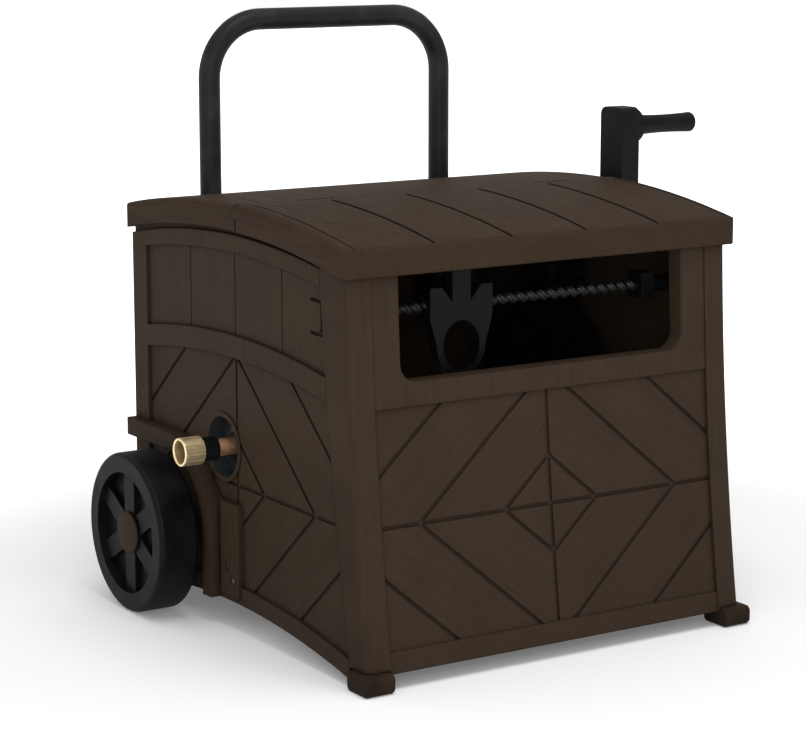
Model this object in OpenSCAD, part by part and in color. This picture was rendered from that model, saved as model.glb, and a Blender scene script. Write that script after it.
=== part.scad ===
// Hose reel box: a wheeled resin box that holds a hose reel with a traversing hose guide,
// a geared crank, a flip-up front lid and a pull handle.
// It stands on two front feet and two rear wheels.
// X runs from the inlet side to the crank side, Y from front to rear and Z up.
// Places are given from the middle of the lid, and in_place() moves the whole part so that
// its origin is on the ground under the middle of its outline.

/* [Lid] */
// Depth of the lid, front to rear
lid_d = 508; // [480:1:540]
// Height of the lid's skirt
skirt_h = 31; // [26:1:40]
// Rise of the lid's arch over its depth
arch_rise = 25; // [16:1:34]
// Wall of the lid
lid_wall = 4.4; // [3:0.2:5.6]
// Rounding of the lid's long top edges
lid_round = 9; // [7:0.5:14]
// How far the rear half of the lid stands in from the front half
rear_step = 1.8; // [0.6:0.2:2.2]
// Gap between the skirts of the lid's two halves
skirt_gap = 6; // [3:0.5:8]
// Distance of the hinge line ahead of the lid's middle
seam_ahead = 26; // [10:1:70]
// How far the front half of the lid opens, in degrees
lid_open = 100; // [60:1:110]
// Radius of the hinge barrel
barrel_r = 8; // [6:0.5:9]
// Radius of the hinge pins
hinge_pin_r = 2.5; // [1.5:0.5:4]
// Planks across the front half of the lid
lid_planks = 5; // [3:1:8]
// Width of the border along each side of the lid's planks
lid_border = 14; // [12:0.5:24]
// Width of a groove between the lid's planks
lid_groove_w = 5; // [3:0.5:8]
// Depth of a groove between the lid's planks
lid_groove_deep = 1.6; // [1:0.2:2.2]
// Depth of the groove along the lid's border
border_groove_deep = 0.6; // [0.4:0.1:2]

/* [Body] */
// Height of the lid's lower edge at the front
lid_edge_z = 442; // [430:1:470]
// How far the lid stands out past the sides
side_over = 9; // [7:0.5:12]
// How far the lid stands out past the front
front_over = 8; // [7:0.5:12]
// How far the lid stands out past the rear
rear_over = 6; // [5:0.5:10]
// Thickness of the panels over their rails
panel_t = 9; // [8:0.5:11]
// How far the front between the posts lies below them
centre_deep = 1.5; // [0.5:0.25:2]
// How deep the panel fields lie below the rails
field_deep = 4; // [2:0.5:4.5]
// Width of a plank groove
groove_w = 4; // [2:0.5:6]
// Depth of a plank groove below its field
groove_deep = 2; // [1:0.5:2.5]
// How far the front leans out from the lid's edge to the ground
front_flare = 44; // [20:1:55]
// How far the front bows in behind its straight line
front_bow = 7; // [0:0.5:10]
// Depth of a corner post on the side, at the top
post_top_w = 54; // [46:1:57]
// Depth of a corner post on the side, at the ground
post_low_w = 35; // [30:1:45]
// Width of a corner post on the front
post_face_w = 31; // [24:1:40]
// Height of the front panel's lower edge
panel_low_z = 18; // [10:1:21]
// Width of the window
window_w = 380; // [330:1:400]
// Height of the window's sill
window_low_z = 325; // [318:1:345]
// Rounding of the window's lower corners
window_round = 20; // [8:1:30]
// Depth of the lip around the window
jamb_deep = 23; // [14:1:28]
// Height of the front field's upper edge
field_top_z = 299; // [270:1:312]
// Height of the front field's lower edge
field_low_z = 41; // [32:1:60]
// Height of the middle of the diagonal plank pattern
pattern_mid_z = 172; // [160:1:185]
// Height of the first diamond of grooves over the pattern's middle
ring_first = 54; // [40:1:70]
// Height from one diamond of grooves to the next
ring_step = 97; // [80:1:115]
// Slope of the diagonal planks, in degrees
plank_slope = 41; // [35:1:48]

/* [Feet] */
// Width of a front foot
foot_w = 37; // [32:1:48]
// Depth of a front foot
foot_d = 42; // [36:1:46]
// Height of a front foot
foot_h = 22; // [22:1:30]
// How far a foot stands out past the post
foot_out = 8; // [4:0.5:12]

/* [Side panels] */
// Height of the side field's top at the middle of the arch
side_field_z = 441; // [425:1:448]
// Height of the rebate under the lid's skirt
rebate_h = 6.5; // [5:0.5:12]
// Height of the mid band's top at the middle of the arch
band_z = 346; // [336:1:360]
// Height of the mid band
band_h = 26; // [18:1:34]
// Height of the side panel's lower edge at the middle of the arch
side_low_z = 33; // [28:1:38]
// Height of the rail under the lower field
low_rail_h = 21; // [14:1:28]
// Width of the rail along the rear edge
rear_rail_w = 35; // [26:1:45]
// Width of the planks of the upper field
side_plank_w = 106; // [90:1:125]
// Depth of the grooves between the planks of the upper field
upper_groove_deep = 0.6; // [0.4:0.1:2]
// Width of the fender band
fender_w = 21; // [14:1:26]
// How far the fender stands out from the side
fender_out = 12; // [6:0.5:15]
// Height of the fender's top
fender_top_z = 210; // [200:1:225]
// Distance of the fender's front edge ahead of the axle
fender_ahead = 106; // [104:1:110]
// Radius of the fender's bend
fender_r = 105; // [80:1:108]
// Width of the pad ahead of the fender
pad_w = 42; // [36:1:50]
// Height of the pad's top
pad_top_z = 150; // [135:1:160]
// How far the pad stands out from the side
pad_out = 3; // [1.5:0.5:6]

/* [Wheels] */
// Diameter of a wheel
wheel_d = 190; // [180:1:196]
// Width of a wheel
wheel_w = 50; // [44:1:60]
// Gap from the side panel's rails to the wheel
wheel_gap = 20; // [18:1:26]
// Distance of the axle ahead of the rear face
axle_in = 104; // [100:1:110]
// Diameter of the axle
axle_d = 12; // [10:0.5:14]
// Diameter of the hub
hub_d = 40; // [36:1:46]
// Diameter of the hub cap
cap_d = 50; // [44:1:60]
// Spokes of a wheel
spoke_n = 6; // [4:1:8]

/* [Handle] */
// Distance between the handle's tubes
handle_span = 329; // [290:1:350]
// Distance of the handle ahead of the rear face
handle_in = 32; // [30:1:36]
// Height of the handle's bar, pulled up
handle_z = 687; // [675:1:720]
// Diameter of the handle's tube
tube_d = 26; // [22:0.5:27]
// Wall of the handle's tube
tube_wall = 1.5; // [1:0.1:2]
// Radius of the handle's bends
bend_r = 70; // [50:1:76]

/* [Reel] */
// Distance of the reel's axis ahead of the wheels' axle
reel_ahead = 112; // [111:1:114]
// Height of the reel's axis
reel_z = 211; // [209:1:214]
// Diameter of the reel's flanges
flange_d = 292; // [270:1:294]
// Thickness of a flange
flange_t = 6; // [4:0.5:7]
// Width between the flanges
reel_w = 404; // [396:1:450]
// Room from a flange's inner face to the side panel's inner face
side_room = 44; // [43:0.5:50]
// Diameter of the drum
drum_d = 100; // [88:1:120]
// Diameter of the reel's shafts
shaft_d = 32; // [30:0.5:34]
// Module of the crank's gears
gear_m = 4; // [3.9:0.02:4.06]
// Teeth of the reel's drive gear
reel_teeth = 58; // [56:1:59]
// Teeth of the crank's pinion
pinion_teeth = 26; // [25:1:27]
// Module of the traverse gears
train_m = 3; // [2.5:0.1:3.2]
// Teeth of the reel's train gear
train_teeth = 32; // [28:1:34]
// Teeth of the traverse screw's gear
screw_teeth = 20; // [18:1:22]
// Thickness of the gears
gear_t = 10; // [8:0.5:11]

/* [Traverse] */
// Distance of the traverse screw behind the top of the front
screw_in = 62; // [58:1:66]
// Height of the traverse screw
screw_z = 392; // [388:1:396]
// Diameter of the traverse screw
screw_d = 14; // [13:0.5:16]
// Pitch of the screw's thread
thread_pitch = 14; // [11:1:20]
// Height of the guide rod over the screw
rod_over = 56; // [50:1:62]
// Diameter of the guide rod
rod_d = 10; // [8:0.5:12]
// Place of the hose guide left of the box's middle
guide_left = 78; // [0:1:140]
// Width of the hose guide
guide_w = 82; // [76:1:92]
// Thickness of the hose guide's plate
guide_t = 14; // [10:1:18]
// Width of the hose guide's eye
eye_w = 48; // [40:1:52]
// Height of the hose guide's eye
eye_h = 56; // [46:1:60]
// Distance of the eye's middle below the screw
eye_below = 44; // [44:1:50]

/* [Crank] */
// Gap from the lid's side to the crank arm
arm_clear = 36; // [30:1:44]
// Thickness of the crank arm
arm_t = 27; // [24:1:34]
// Width of the crank arm
arm_w = 44; // [40:1:50]
// Length of the crank arm, axis to axis
arm_len = 173; // [160:1:185]
// Length of the arm past the grip's axis
arm_end = 24; // [22:1:30]
// Length of the grip
grip_len = 89; // [70:1:110]
// Diameter of the grip
grip_d = 25; // [22:0.5:32]
// Diameter of the crank shaft
crank_d = 18; // [16:0.5:20]

/* [Inlet] */
// Diameter of the inlet cup
cup_d = 76; // [66:1:84]
// Depth of the inlet cup
cup_deep = 27; // [25:0.5:28]
// How far the inlet reaches out past the side
inlet_reach = 54; // [50:1:64]
// Diameter of the swivel nut
nut_d = 33; // [32:0.5:38]
// Length of the swivel nut
nut_len = 26; // [24:1:30]
// Radius of the swivel nut's thread bore
thread_r = 13.3; // [13:0.1:13.6]
// Diameter of the inlet tube
inlet_d = 20; // [19:0.5:23]

/* [Hidden] */
$fn = 64;

// Colours
resin = [0.25, 0.21, 0.18];
resin_top = [0.30, 0.26, 0.22];
black = [0.08, 0.08, 0.08];
grey = [0.24, 0.24, 0.24];
steel = [0.62, 0.63, 0.65];
brass = [0.78, 0.62, 0.30];

// Clearances
cut_over = 1;      // overrun of a cut past the face that it opens
rest_gap = 0.3;    // gap between pieces that rest on each other
fit_gap = 0.05;    // radial gap of a fixed fit
run_gap = 0.08;    // radial gap of a shaft in its hole
slide_gap = 0.4;   // gap of a loose slide

// Counts
curve_n = 20;      // steps of a bowed or arched edge
round_n = 64;      // sides of the lid's rounded edges
arch_n = 720;      // sides of the full circle of the lid's arch
ring_n = 3;        // diamonds of grooves
flank_n = 5;       // steps of a tooth's flank
eye_n = 40;        // steps of the guide's eye
bore_sides = 12;   // sides of a gear's bore
hex_sides = 6;     // sides of a hexagon

// Box
inner_hw = reel_w / 2 + side_room;
box_hw = inner_hw + panel_t;
lid_hw = box_hw + side_over;
lid_w = 2 * lid_hw;
front_top_y = front_over - lid_d / 2;
rear_y = lid_d / 2 - rear_over;
axle_y = rear_y - axle_in;
handle_y = rear_y - handle_in;
reel_y = axle_y - reel_ahead;
screw_y = front_top_y + screw_in;
arch_r = (pow(lid_d / 2, 2) + pow(arch_rise, 2)) / (2 * arch_rise);
lid_crest_z = lid_edge_z + skirt_h + arch_rise;
field_hw = box_hw - post_face_w;
field_x = box_hw - field_deep;
bar_gap = 4;
bar_h = 18;
bar_low_z = lid_edge_z + bar_gap;
bar_top_z = bar_low_z + bar_h;
jamb_wall = 3;
far = lid_w;

// Lid hinge
hinge_y = -seam_ahead;
barrel_sink = 0.4;
hinge_z = lid_crest_z - arch_drop(hinge_y) - barrel_r - barrel_sink;
seam_gap = 2;
knuckle_w = 44;
knuckle_x_share = 0.62;
knuckle_x = knuckle_x_share * lid_hw;
hinge_pin_len = 2 * knuckle_w;
knuckle_drop_share = 0.35;
knuckle_drop = knuckle_drop_share * barrel_r;
knuckle_web = 14;
lean = max(lid_open - 90, 0);
lean_room = barrel_r * (1 + sin(lean)) / cos(lean) + seam_gap;
lid_turn_spare = 1;
lid_turn = asin(lid_d / 2 / (arch_r - skirt_h)) + lid_turn_spare;

// Side panel
fender_front_y = axle_y - fender_ahead;
fender_mid_y = fender_front_y + fender_r;
fender_mid_z = fender_top_z - fender_r;
pad_gap = 7;
pad_low_z = 40;
pad_rear_y = fender_front_y - pad_gap;
pad_mid_y = pad_rear_y - pad_w / 2;
boss_h = 12;
tab_len = 24;
tab_h = 33;
tab_round = 6;
tab_gap = 3.5;
tab_groove_deep = 2.4;
tab_front_gap = 9;
rear_lift = 3;
rear_low_z = side_low_z + rear_lift;

// Wheel and axle
wheel_r = wheel_d / 2;
axle_r = axle_d / 2;
hub_r = hub_d / 2;
wheel_x = box_hw + wheel_gap;
wheel_face_x = wheel_x + wheel_w;
rim_t = 23;
shoulder_r = 6;
web_in = 28;
web_t = 8;
spoke_w = 24;
spoke_in = 7;
hub_in = 6;
hub_out = wheel_w - hub_in;
hub_back = wheel_x - box_hw;
nut_seat = 10;
nut_seat_r = 14;
push_nut_t = 2;
push_nut_r = 11;
washer_r = 15;
axle_boss_r = 14;
cap_disc = 3;
cap_rise = 2.4;
cap_skirt = 4;
cap_skirt_t = 2;
axle_end_x = wheel_x + hub_out - cap_skirt;

// Handle
tube_r = tube_d / 2;
handle_hw = handle_span / 2;
sleeve_low_z = 318;
sleeve_h = 34;
sleeve_wall = 6;
plug_h = 20;
plug_floor = 4;
plug_rim = 4;
handle_hole_gap = 1;

// Reel
flange_r = flange_d / 2;
drum_r = drum_d / 2;
shaft_r = shaft_d / 2;
flange_out_x = reel_w / 2 + flange_t;
gear_gap = 3;
gear_x = flange_out_x + gear_gap;
gear_end_x = gear_x + gear_t;
drum_wall = 4;
rim_bead = 8;
rim_bead_t = 3;
shaft_tail = 14;
bush_wall = 5;
bush_l_len = 12;
bush_r_len = 20;
bush_flange_t = 3;
bush_flange_w = 8;
gear_boss_r = 24;
backlash = 0.6;
pressure = 20;
addendum_share = 1;
dedendum_share = 1.25;
outlet_x_share = 0.36;
outlet_bore_r = 7;
outlet_stem_r = 9;
outlet_hex_r = 15;
outlet_hex_h = 8;
outlet_thread_r = 13.2;
outlet_thread_h = 18;

// Crank
crank_r = crank_d / 2;
crank_y = reel_y;
crank_z = reel_z + gear_m * (reel_teeth + pinion_teeth) / 2;
arm_x = lid_hw + arm_clear;
arm_out_x = arm_x + arm_t;
arm_wall = 3.5;
arm_corner = 10;
arm_hub_r = 24;
arm_hub_in = 32;
arm_ribs = 4;
arm_rib_t = 3;
grip_boss = 10;
grip_boss_r = 21;
grip_x = arm_out_x + grip_boss;
grip_tip_x = grip_x + grip_len;
grip_z = crank_z + arm_len;
grip_waist = 1.2;
spindle_r = 4;
spindle_head_r = 7;
spindle_head_t = 4;
spindle_seat = 6;
spindle_root = 18;
bush_out = 4;
bush_lip = 6;
bush_in = 12;
crank_bush_wall = 5;
crank_hex_len = 19;
shaft_seat = 7;

// Traverse
screw_r = screw_d / 2;
rod_z = screw_z + rod_over;
rod_r = rod_d / 2;
train_d = norm([screw_y - reel_y, screw_z - reel_z]);
train_r = train_m * train_teeth / 2;
screw_gear_r = train_m * screw_teeth / 2;
idler_teeth = ceil((train_d - train_r - screw_gear_r) / train_m);
idler_r = train_m * idler_teeth / 2;
idler_d1 = train_r + idler_r;
idler_d2 = idler_r + screw_gear_r;
idler_along = (pow(idler_d1, 2) - pow(idler_d2, 2) + pow(train_d, 2)) / (2 * train_d);
idler_off = sqrt(max(pow(idler_d1, 2) - pow(idler_along, 2), 0));
train_dir = atan2(screw_z - reel_z, screw_y - reel_y);
idler_y = reel_y + idler_along * cos(train_dir) + idler_off * sin(train_dir);
idler_z = reel_z + idler_along * sin(train_dir) - idler_off * cos(train_dir);
idler_in = 1.5;
stud_r = 6;
stud_head_r = 9;
stud_head_t = 1.4;
stud_foot_r = 14;
stud_foot_t = 6;
idler_bush_r = 10;
bearing_in = 29;
bearing_x = reel_w / 2 - bearing_in;
bearing_w = 18;
bearing_hw = 13;
bearing_hh = 15;
bearing_arm_r = 9;
bearing_l_len = 16;
bearing_l_r = 13;
journal_r = 5;
thread_deep = 1.4;
thread_gap = 2;
thread_slices = 7;
thread_sides = 10;
rod_boss_r = 11;
rod_seat = 10;

// Hose guide
guide_x = -guide_left;
eye_z = screw_z - eye_below;
eye_rim = 8;
guide_barrel_r = 13;
guide_lead = 2;
guide_front_y = screw_y - guide_barrel_r - guide_lead;
rod_eye_r = 9;
tab_w = 24;
horn_h = 22;
horn_w = 15;
notch_z = 5;
follower_r = 5;
follower_len = 8;
follower_lip = 1.6;

// Inlet
cup_r = cup_d / 2;
cup_wall = 3;
cup_rim = 3;
cup_rim_t = 2;
nut_r = nut_d / 2;
nut_x = -(box_hw + inlet_reach);
nut_floor = 5;
nut_notches = 12;
nut_notch_r = 1.6;
inlet_r = inlet_d / 2;
inlet_bore_r = 8;
inlet_lip = 1.6;
inlet_lip_t = 3;
inlet_washer_t = 3;
thread_len = nut_len - nut_floor - inlet_lip_t - inlet_washer_t - 3 * rest_gap;
seat_r = thread_r + slide_gap;
collar_gap = 2;
collar_len = 18.5;
collar_t = 4;
inlet_tail = 12;

// Bottom brace
brace_h = 20;
brace_wall = 3;
brace_ear = 14;
brace_ear_h = 44;
brace_screw_r = 2.2;
brace_head_r = 4;
brace_head_t = 3;
brace_sink = 4.5;
brace_step_y = 13;
brace_step_z = 15;
brace_up = 26;
brace_mid_z = pad_low_z + brace_up;

// Middle of the part's outline
foot_front_y = front_y(0) - foot_out;
mid_x = (grip_tip_x - wheel_face_x) / 2;
mid_y = (foot_front_y + lid_d / 2) / 2;

// Drop of the lid's arch below its crest
function arch_drop(y) = arch_r - sqrt(arch_r * arch_r - y * y);
// Height of the lid's inner face
function lid_low_z(y) = lid_crest_z - arch_r + sqrt(pow(arch_r - skirt_h, 2) - y * y);
function lid_inside_z(y) = lid_crest_z - arch_r + sqrt(pow(arch_r - lid_wall, 2) - y * y);
// Share of the way down from the lid's edge to the ground
function down_share(z) = (lid_edge_z - z) / lid_edge_z;
// Front face of the posts
function front_y(z) = front_top_y - front_flare * down_share(z)
    + 4 * front_bow * down_share(z) * (1 - down_share(z));
// Rear edge of the posts on the side
function post_back_y(z) = front_y(z) + post_top_w + (post_low_w - post_top_w) * down_share(z);
// Points down the front, a distance behind its face
function front_line(z0, z1, deep) =
    [for (i = [0 : curve_n]) let (z = z0 + (z1 - z0) * i / curve_n) [front_y(z) + deep, z]];
// Points down the rear edge of a post
function back_line(z0, z1, gap) =
    [for (i = [0 : curve_n]) let (z = z0 + (z1 - z0) * i / curve_n) [post_back_y(z) + gap, z]];
// Points along an arched line
function arc_line(crest, y0, y1) =
    [for (i = [0 : curve_n]) let (y = y0 + (y1 - y0) * i / curve_n) [y, crest - arch_drop(y)]];

module in_place() { translate([-mid_x, -mid_y, 0]) children(); }
module block(low, high) { translate(low) cube(high - low); }
module rod_x(x0, x1, y, z, r) { translate([x0, y, z]) rotate([0, 90, 0]) cylinder(h = x1 - x0, r = r); }
module along_x(x0, x1) { translate([x0, 0, 0]) rotate([90, 0, 90]) linear_extrude(x1 - x0) children(); }
module hex_x(x0, x1, y, z, r) { translate([0, y, z]) along_x(x0, x1) circle(r = r, $fn = hex_sides); }
module along_y(y0, y1) { translate([0, y1, 0]) rotate([90, 0, 0]) linear_extrude(y1 - y0) children(); }
module both_sides() {
    children();
    mirror([1, 0, 0]) children();
}
module ring_x(x0, x1, y, z, r_out, r_in) {
    difference() {
        rod_x(x0, x1, y, z, r_out);
        rod_x(x0 - cut_over, x1 + cut_over, y, z, r_in);
    }
}

// Involute gear outline
function inv_deg(base, r) = r <= base ? 0 : tan(acos(base / r)) * 180 / PI - acos(base / r);
function tooth(teeth, m) =
    let (
        pitch = m * teeth / 2,
        base = pitch * cos(pressure),
        tip = pitch + m * addendum_share,
        root = pitch - m * dedendum_share,
        start = max(base, root),
        half = (PI * m - backlash) / 4 / pitch * 180 / PI + inv_deg(base, pitch),
        flank = [for (i = [0 : flank_n]) let (r = start + (tip - start) * i / flank_n)
            [r, half - inv_deg(base, r)]]
    )
    concat(
        [[root, -flank[0][1]]],
        [for (p = flank) [p[0], -p[1]]],
        [for (i = [flank_n : -1 : 0]) flank[i]],
        [[root, flank[0][1]]]
    );
function gear_outline(teeth, m, turn) =
    [for (k = [0 : teeth - 1]) for (p = tooth(teeth, m))
        let (a = p[1] + turn + k * 360 / teeth) [p[0] * cos(a), p[0] * sin(a)]];
// Turn of a gear that meshes with another one, which lies in the direction dir from it
function mesh_turn(teeth_a, teeth_b, turn_a, dir) =
    dir + 180 - teeth_a / teeth_b * (turn_a - dir) - 180 / teeth_b;
function flat_r(r, sides) = r / cos(180 / sides);
module gear(x0, x1, y, z, teeth, m, turn, bore, sides) {
    translate([0, y, z])
        along_x(x0, x1)
            difference() {
                polygon(gear_outline(teeth, m, turn));
                circle(r = flat_r(bore, sides), $fn = sides);
            }
}

// Grooves of the diagonal planks, about the pattern's middle
module diamond(c) {
    w = c / tan(plank_slope);
    polygon([[w, 0], [0, c], [-w, 0], [0, -c]]);
}
module plank_pattern() {
    line_h = groove_w / cos(plank_slope);
    for (k = [0 : ring_n - 1])
        difference() {
            diamond(ring_first + k * ring_step + line_h / 2);
            diamond(ring_first + k * ring_step - line_h / 2);
        }
    translate([-far, -groove_w / 2]) square([2 * far, groove_w]);
    translate([-groove_w / 2, -far]) square([groove_w, 2 * far]);
}

// Front panel
module front_skin(d0, d1, z0, z1) { polygon(concat(front_line(z0, z1, d0), front_line(z1, z0, d1))); }
module window_outline(grow) {
    half = window_w / 2 + grow;
    low = window_low_z - grow;
    round_r = window_round + grow;
    translate([-half, low + round_r]) square([2 * half, bar_low_z - low - round_r]);
    translate([-half + round_r, low]) square([2 * (half - round_r), bar_low_z - low]);
    for (s = [-1, 1]) translate([s * (half - round_r), low + round_r]) circle(r = round_r);
}
module post_return(gap) {
    polygon(concat(
        front_line(panel_low_z, bar_top_z, panel_t / 2),
        back_line(bar_top_z, panel_low_z, gap)
    ));
}
module front_panel() {
    y0 = front_y(0) - cut_over;
    y1 = front_top_y + post_top_w;
    foot_hw = box_hw + foot_out - foot_w - rest_gap;
    color(resin) in_place() difference() {
        union() {
            along_x(-box_hw, box_hw) front_skin(0, panel_t, panel_low_z, bar_top_z);
            both_sides() along_x(-box_hw, -inner_hw) post_return(0);
            intersection() {
                along_y(y0, y1) window_outline(jamb_wall);
                along_x(-box_hw, box_hw) front_skin(panel_t / 2, jamb_deep, panel_low_z, bar_top_z);
            }
        }
        along_y(y0, y1) window_outline(0);
        along_x(-field_hw, field_hw)
            front_skin(-cut_over, centre_deep, panel_low_z - cut_over, bar_top_z + cut_over);
        along_x(-field_hw, field_hw) front_skin(-cut_over, field_deep, field_low_z, field_top_z);
        intersection() {
            along_x(-field_hw, field_hw)
                front_skin(-cut_over, field_deep + groove_deep, field_low_z, field_top_z);
            along_y(y0, y1) translate([0, pattern_mid_z]) plank_pattern();
        }
        both_sides() block([foot_hw, y0, 0], [box_hw + cut_over, y1, foot_h + rest_gap]);
    }
}

// Side panels
module arc_band(top, low, y0, y1) { polygon(concat(arc_line(top, y0, y1), arc_line(low, y1, y0))); }
module side_outline() {
    low_z = side_low_z - arch_drop(front_top_y);
    low_y = post_back_y(low_z) + rest_gap;
    top_y = post_back_y(lid_inside_z(post_back_y(bar_top_z))) + rest_gap;
    top_z = lid_inside_z(top_y) - rest_gap;
    top_line = [for (i = [0 : curve_n]) let (y = rear_y + (top_y - rear_y) * i / curve_n)
        [y, lid_inside_z(y) - rest_gap]];
    front_edge = [for (i = [1 : curve_n - 1]) let (z = top_z + (low_z - top_z) * i / curve_n)
        [post_back_y(z) + rest_gap, z]];
    polygon(concat(arc_line(side_low_z, low_y, rear_y), top_line, front_edge));
}
module upper_field() { arc_band(side_field_z, band_z, -lid_d / 2, rear_y - rear_rail_w); }
module lower_field() {
    arc_band(band_z - band_h, side_low_z + low_rail_h, -lid_d / 2 - front_flare, rear_y - rear_rail_w);
}
module rebate_field() {
    y0 = -lid_d / 2;
    y1 = rear_y + cut_over;
    low = [for (i = [0 : curve_n]) let (y = y0 + (y1 - y0) * i / curve_n) [y, lid_low_z(y) - rebate_h]];
    polygon(concat(low, [[y1, lid_crest_z], [y0, lid_crest_z]]));
}
module upper_grooves() {
    for (k = [-1 : 1]) translate([k * side_plank_w - groove_w / 2, 0]) square([groove_w, far]);
}
module rounded(y0, y1, z0, z1, r) {
    translate([y0 + r, z0]) square([y1 - y0 - 2 * r, z1 - z0]);
    translate([y0, z0 + r]) square([y1 - y0, z1 - z0 - 2 * r]);
    for (y = [y0 + r, y1 - r]) for (z = [z0 + r, z1 - r]) translate([y, z]) circle(r = r);
}
// Groove around the snap tab that holds the side to the post
module tab_groove() {
    tab_y = post_back_y(screw_z) + tab_front_gap;
    low_z = screw_z - tab_h / 2;
    top_z = screw_z + tab_h / 2;
    difference() {
        rounded(
            post_back_y(low_z - tab_gap), tab_y + tab_len,
            low_z - tab_gap, top_z + tab_gap, tab_round + tab_gap / 2
        );
        rounded(tab_y, tab_y + tab_len + 2 * tab_round, low_z, top_z, tab_round);
    }
}
module fender_shape(r) {
    translate([fender_mid_y, fender_mid_z]) circle(r = r);
    translate([fender_mid_y - r, -cut_over]) square([r + far, fender_mid_z + cut_over]);
    translate([fender_mid_y, -cut_over]) square([far, fender_mid_z + r + cut_over]);
}
module inner_boss(y, z, r) { rod_x(-inner_hw - panel_t / 2, -inner_hw + boss_h, y, z, r); }
module through_hole(y, z, r) { rod_x(-far, -inner_hw + boss_h + cut_over, y, z, r); }
module side_sheet() {
    x0 = -box_hw - cut_over;
    difference() {
        along_x(-box_hw, -inner_hw) side_outline();
        along_x(x0, -field_x) upper_field();
        along_x(x0, -field_x) lower_field();
        along_x(x0, -field_x) rebate_field();
        along_x(x0, -field_x + upper_groove_deep)
            intersection() {
                upper_field();
                upper_grooves();
            }
        along_x(x0, -field_x + groove_deep)
            intersection() {
                lower_field();
                translate([0, pattern_mid_z]) plank_pattern();
            }
        along_x(x0, -field_x + tab_groove_deep) tab_groove();
        rod_x(x0, -inner_hw + cut_over, hinge_y, hinge_z, lean_room);
    }
    along_x(-box_hw - fender_out, -inner_hw - panel_t / 4)
        intersection() {
            side_outline();
            difference() {
                fender_shape(fender_r);
                fender_shape(fender_r - fender_w);
            }
        }
    along_x(-box_hw - pad_out, -inner_hw - panel_t / 4)
        translate([pad_rear_y - pad_w, pad_low_z]) square([pad_w, pad_top_z - pad_low_z]);
    inner_boss(axle_y, wheel_r, axle_boss_r);
    difference() {
        inner_boss(screw_y, rod_z, rod_boss_r);
        along_x(-box_hw, -inner_hw + rest_gap) post_return(rest_gap);
    }
}
module brace_places() {
    for (s = [-1, 1])
        translate([0, pad_mid_y + s * brace_step_y / 2, brace_mid_z + s * brace_step_z / 2]) children();
}
module side_holes() {
    through_hole(axle_y, wheel_r, axle_r + fit_gap);
    rod_end_x = -inner_hw + boss_h;
    rod_x(rod_end_x - rod_seat - rest_gap, rod_end_x + cut_over, screw_y, rod_z, rod_r + fit_gap);
    brace_places() {
        rod_x(-far, -inner_hw + cut_over, 0, 0, brace_screw_r + fit_gap);
        rod_x(-far, -box_hw - pad_out + brace_sink, 0, 0, brace_head_r + rest_gap);
    }
}
module left_side_panel() {
    color(resin) in_place() difference() {
        side_sheet();
        side_holes();
        through_hole(reel_y, reel_z, cup_r + rest_gap);
    }
}
module right_side_panel() {
    color(resin) in_place() mirror([1, 0, 0]) difference() {
        union() {
            side_sheet();
            inner_boss(crank_y, crank_z, crank_r + 2 * crank_bush_wall);
        }
        side_holes();
        through_hole(crank_y, crank_z, crank_r + crank_bush_wall + fit_gap);
    }
}

// Rear panel
module rear_field(low, high) {
    half = inner_hw - rest_gap - rear_rail_w + panel_t;
    translate([-half, low]) square([2 * half, high - low]);
}
module rear_upper_field() { rear_field(band_z - arch_drop(rear_y), side_field_z - arch_drop(rear_y)); }
module rear_lower_field() { rear_field(rear_low_z + low_rail_h, band_z - band_h - arch_drop(rear_y)); }
module rear_panel() {
    hw = inner_hw - rest_gap;
    color(resin) in_place() difference() {
        block([-hw, rear_y - panel_t, rear_low_z], [hw, rear_y, lid_inside_z(rear_y) - rest_gap]);
        along_y(rear_y - field_deep, rear_y + cut_over) {
            rear_upper_field();
            rear_lower_field();
        }
        along_y(rear_y - field_deep - upper_groove_deep, rear_y + cut_over)
            intersection() {
                rear_upper_field();
                upper_grooves();
            }
        along_y(rear_y - field_deep - groove_deep, rear_y + cut_over)
            intersection() {
                rear_lower_field();
                translate([0, pattern_mid_z]) plank_pattern();
            }
    }
}

// Lid
module lid_section(inset, low_r) {
    half = lid_hw - inset;
    top_r = arch_r - inset;
    round_r = lid_round - inset;
    translate([low_r, -half]) square([top_r - round_r - low_r, 2 * half]);
    translate([low_r, -half + round_r]) square([top_r - low_r, 2 * (half - round_r)]);
    for (s = [-1, 1]) translate([top_r - round_r, s * (half - round_r)]) circle(r = round_r, $fn = round_n);
}
module lid_swept() {
    translate([0, 0, lid_crest_z - arch_r])
        rotate([0, -90, 0])
            rotate([0, 0, -lid_turn])
                rotate_extrude(angle = 2 * lid_turn, $fn = arch_n) children();
}
module knuckles(r, grow) {
    for (s = [-1, 1])
        rod_x(s * knuckle_x - knuckle_w / 2 - grow, s * knuckle_x + knuckle_w / 2 + grow, hinge_y, hinge_z, r);
}
module hinge_holes() {
    for (s = [-1, 1])
        rod_x(
            s * knuckle_x - hinge_pin_len / 2 - rest_gap,
            s * knuckle_x + hinge_pin_len / 2 + rest_gap,
            hinge_y, hinge_z, hinge_pin_r + run_gap
        );
}
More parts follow.
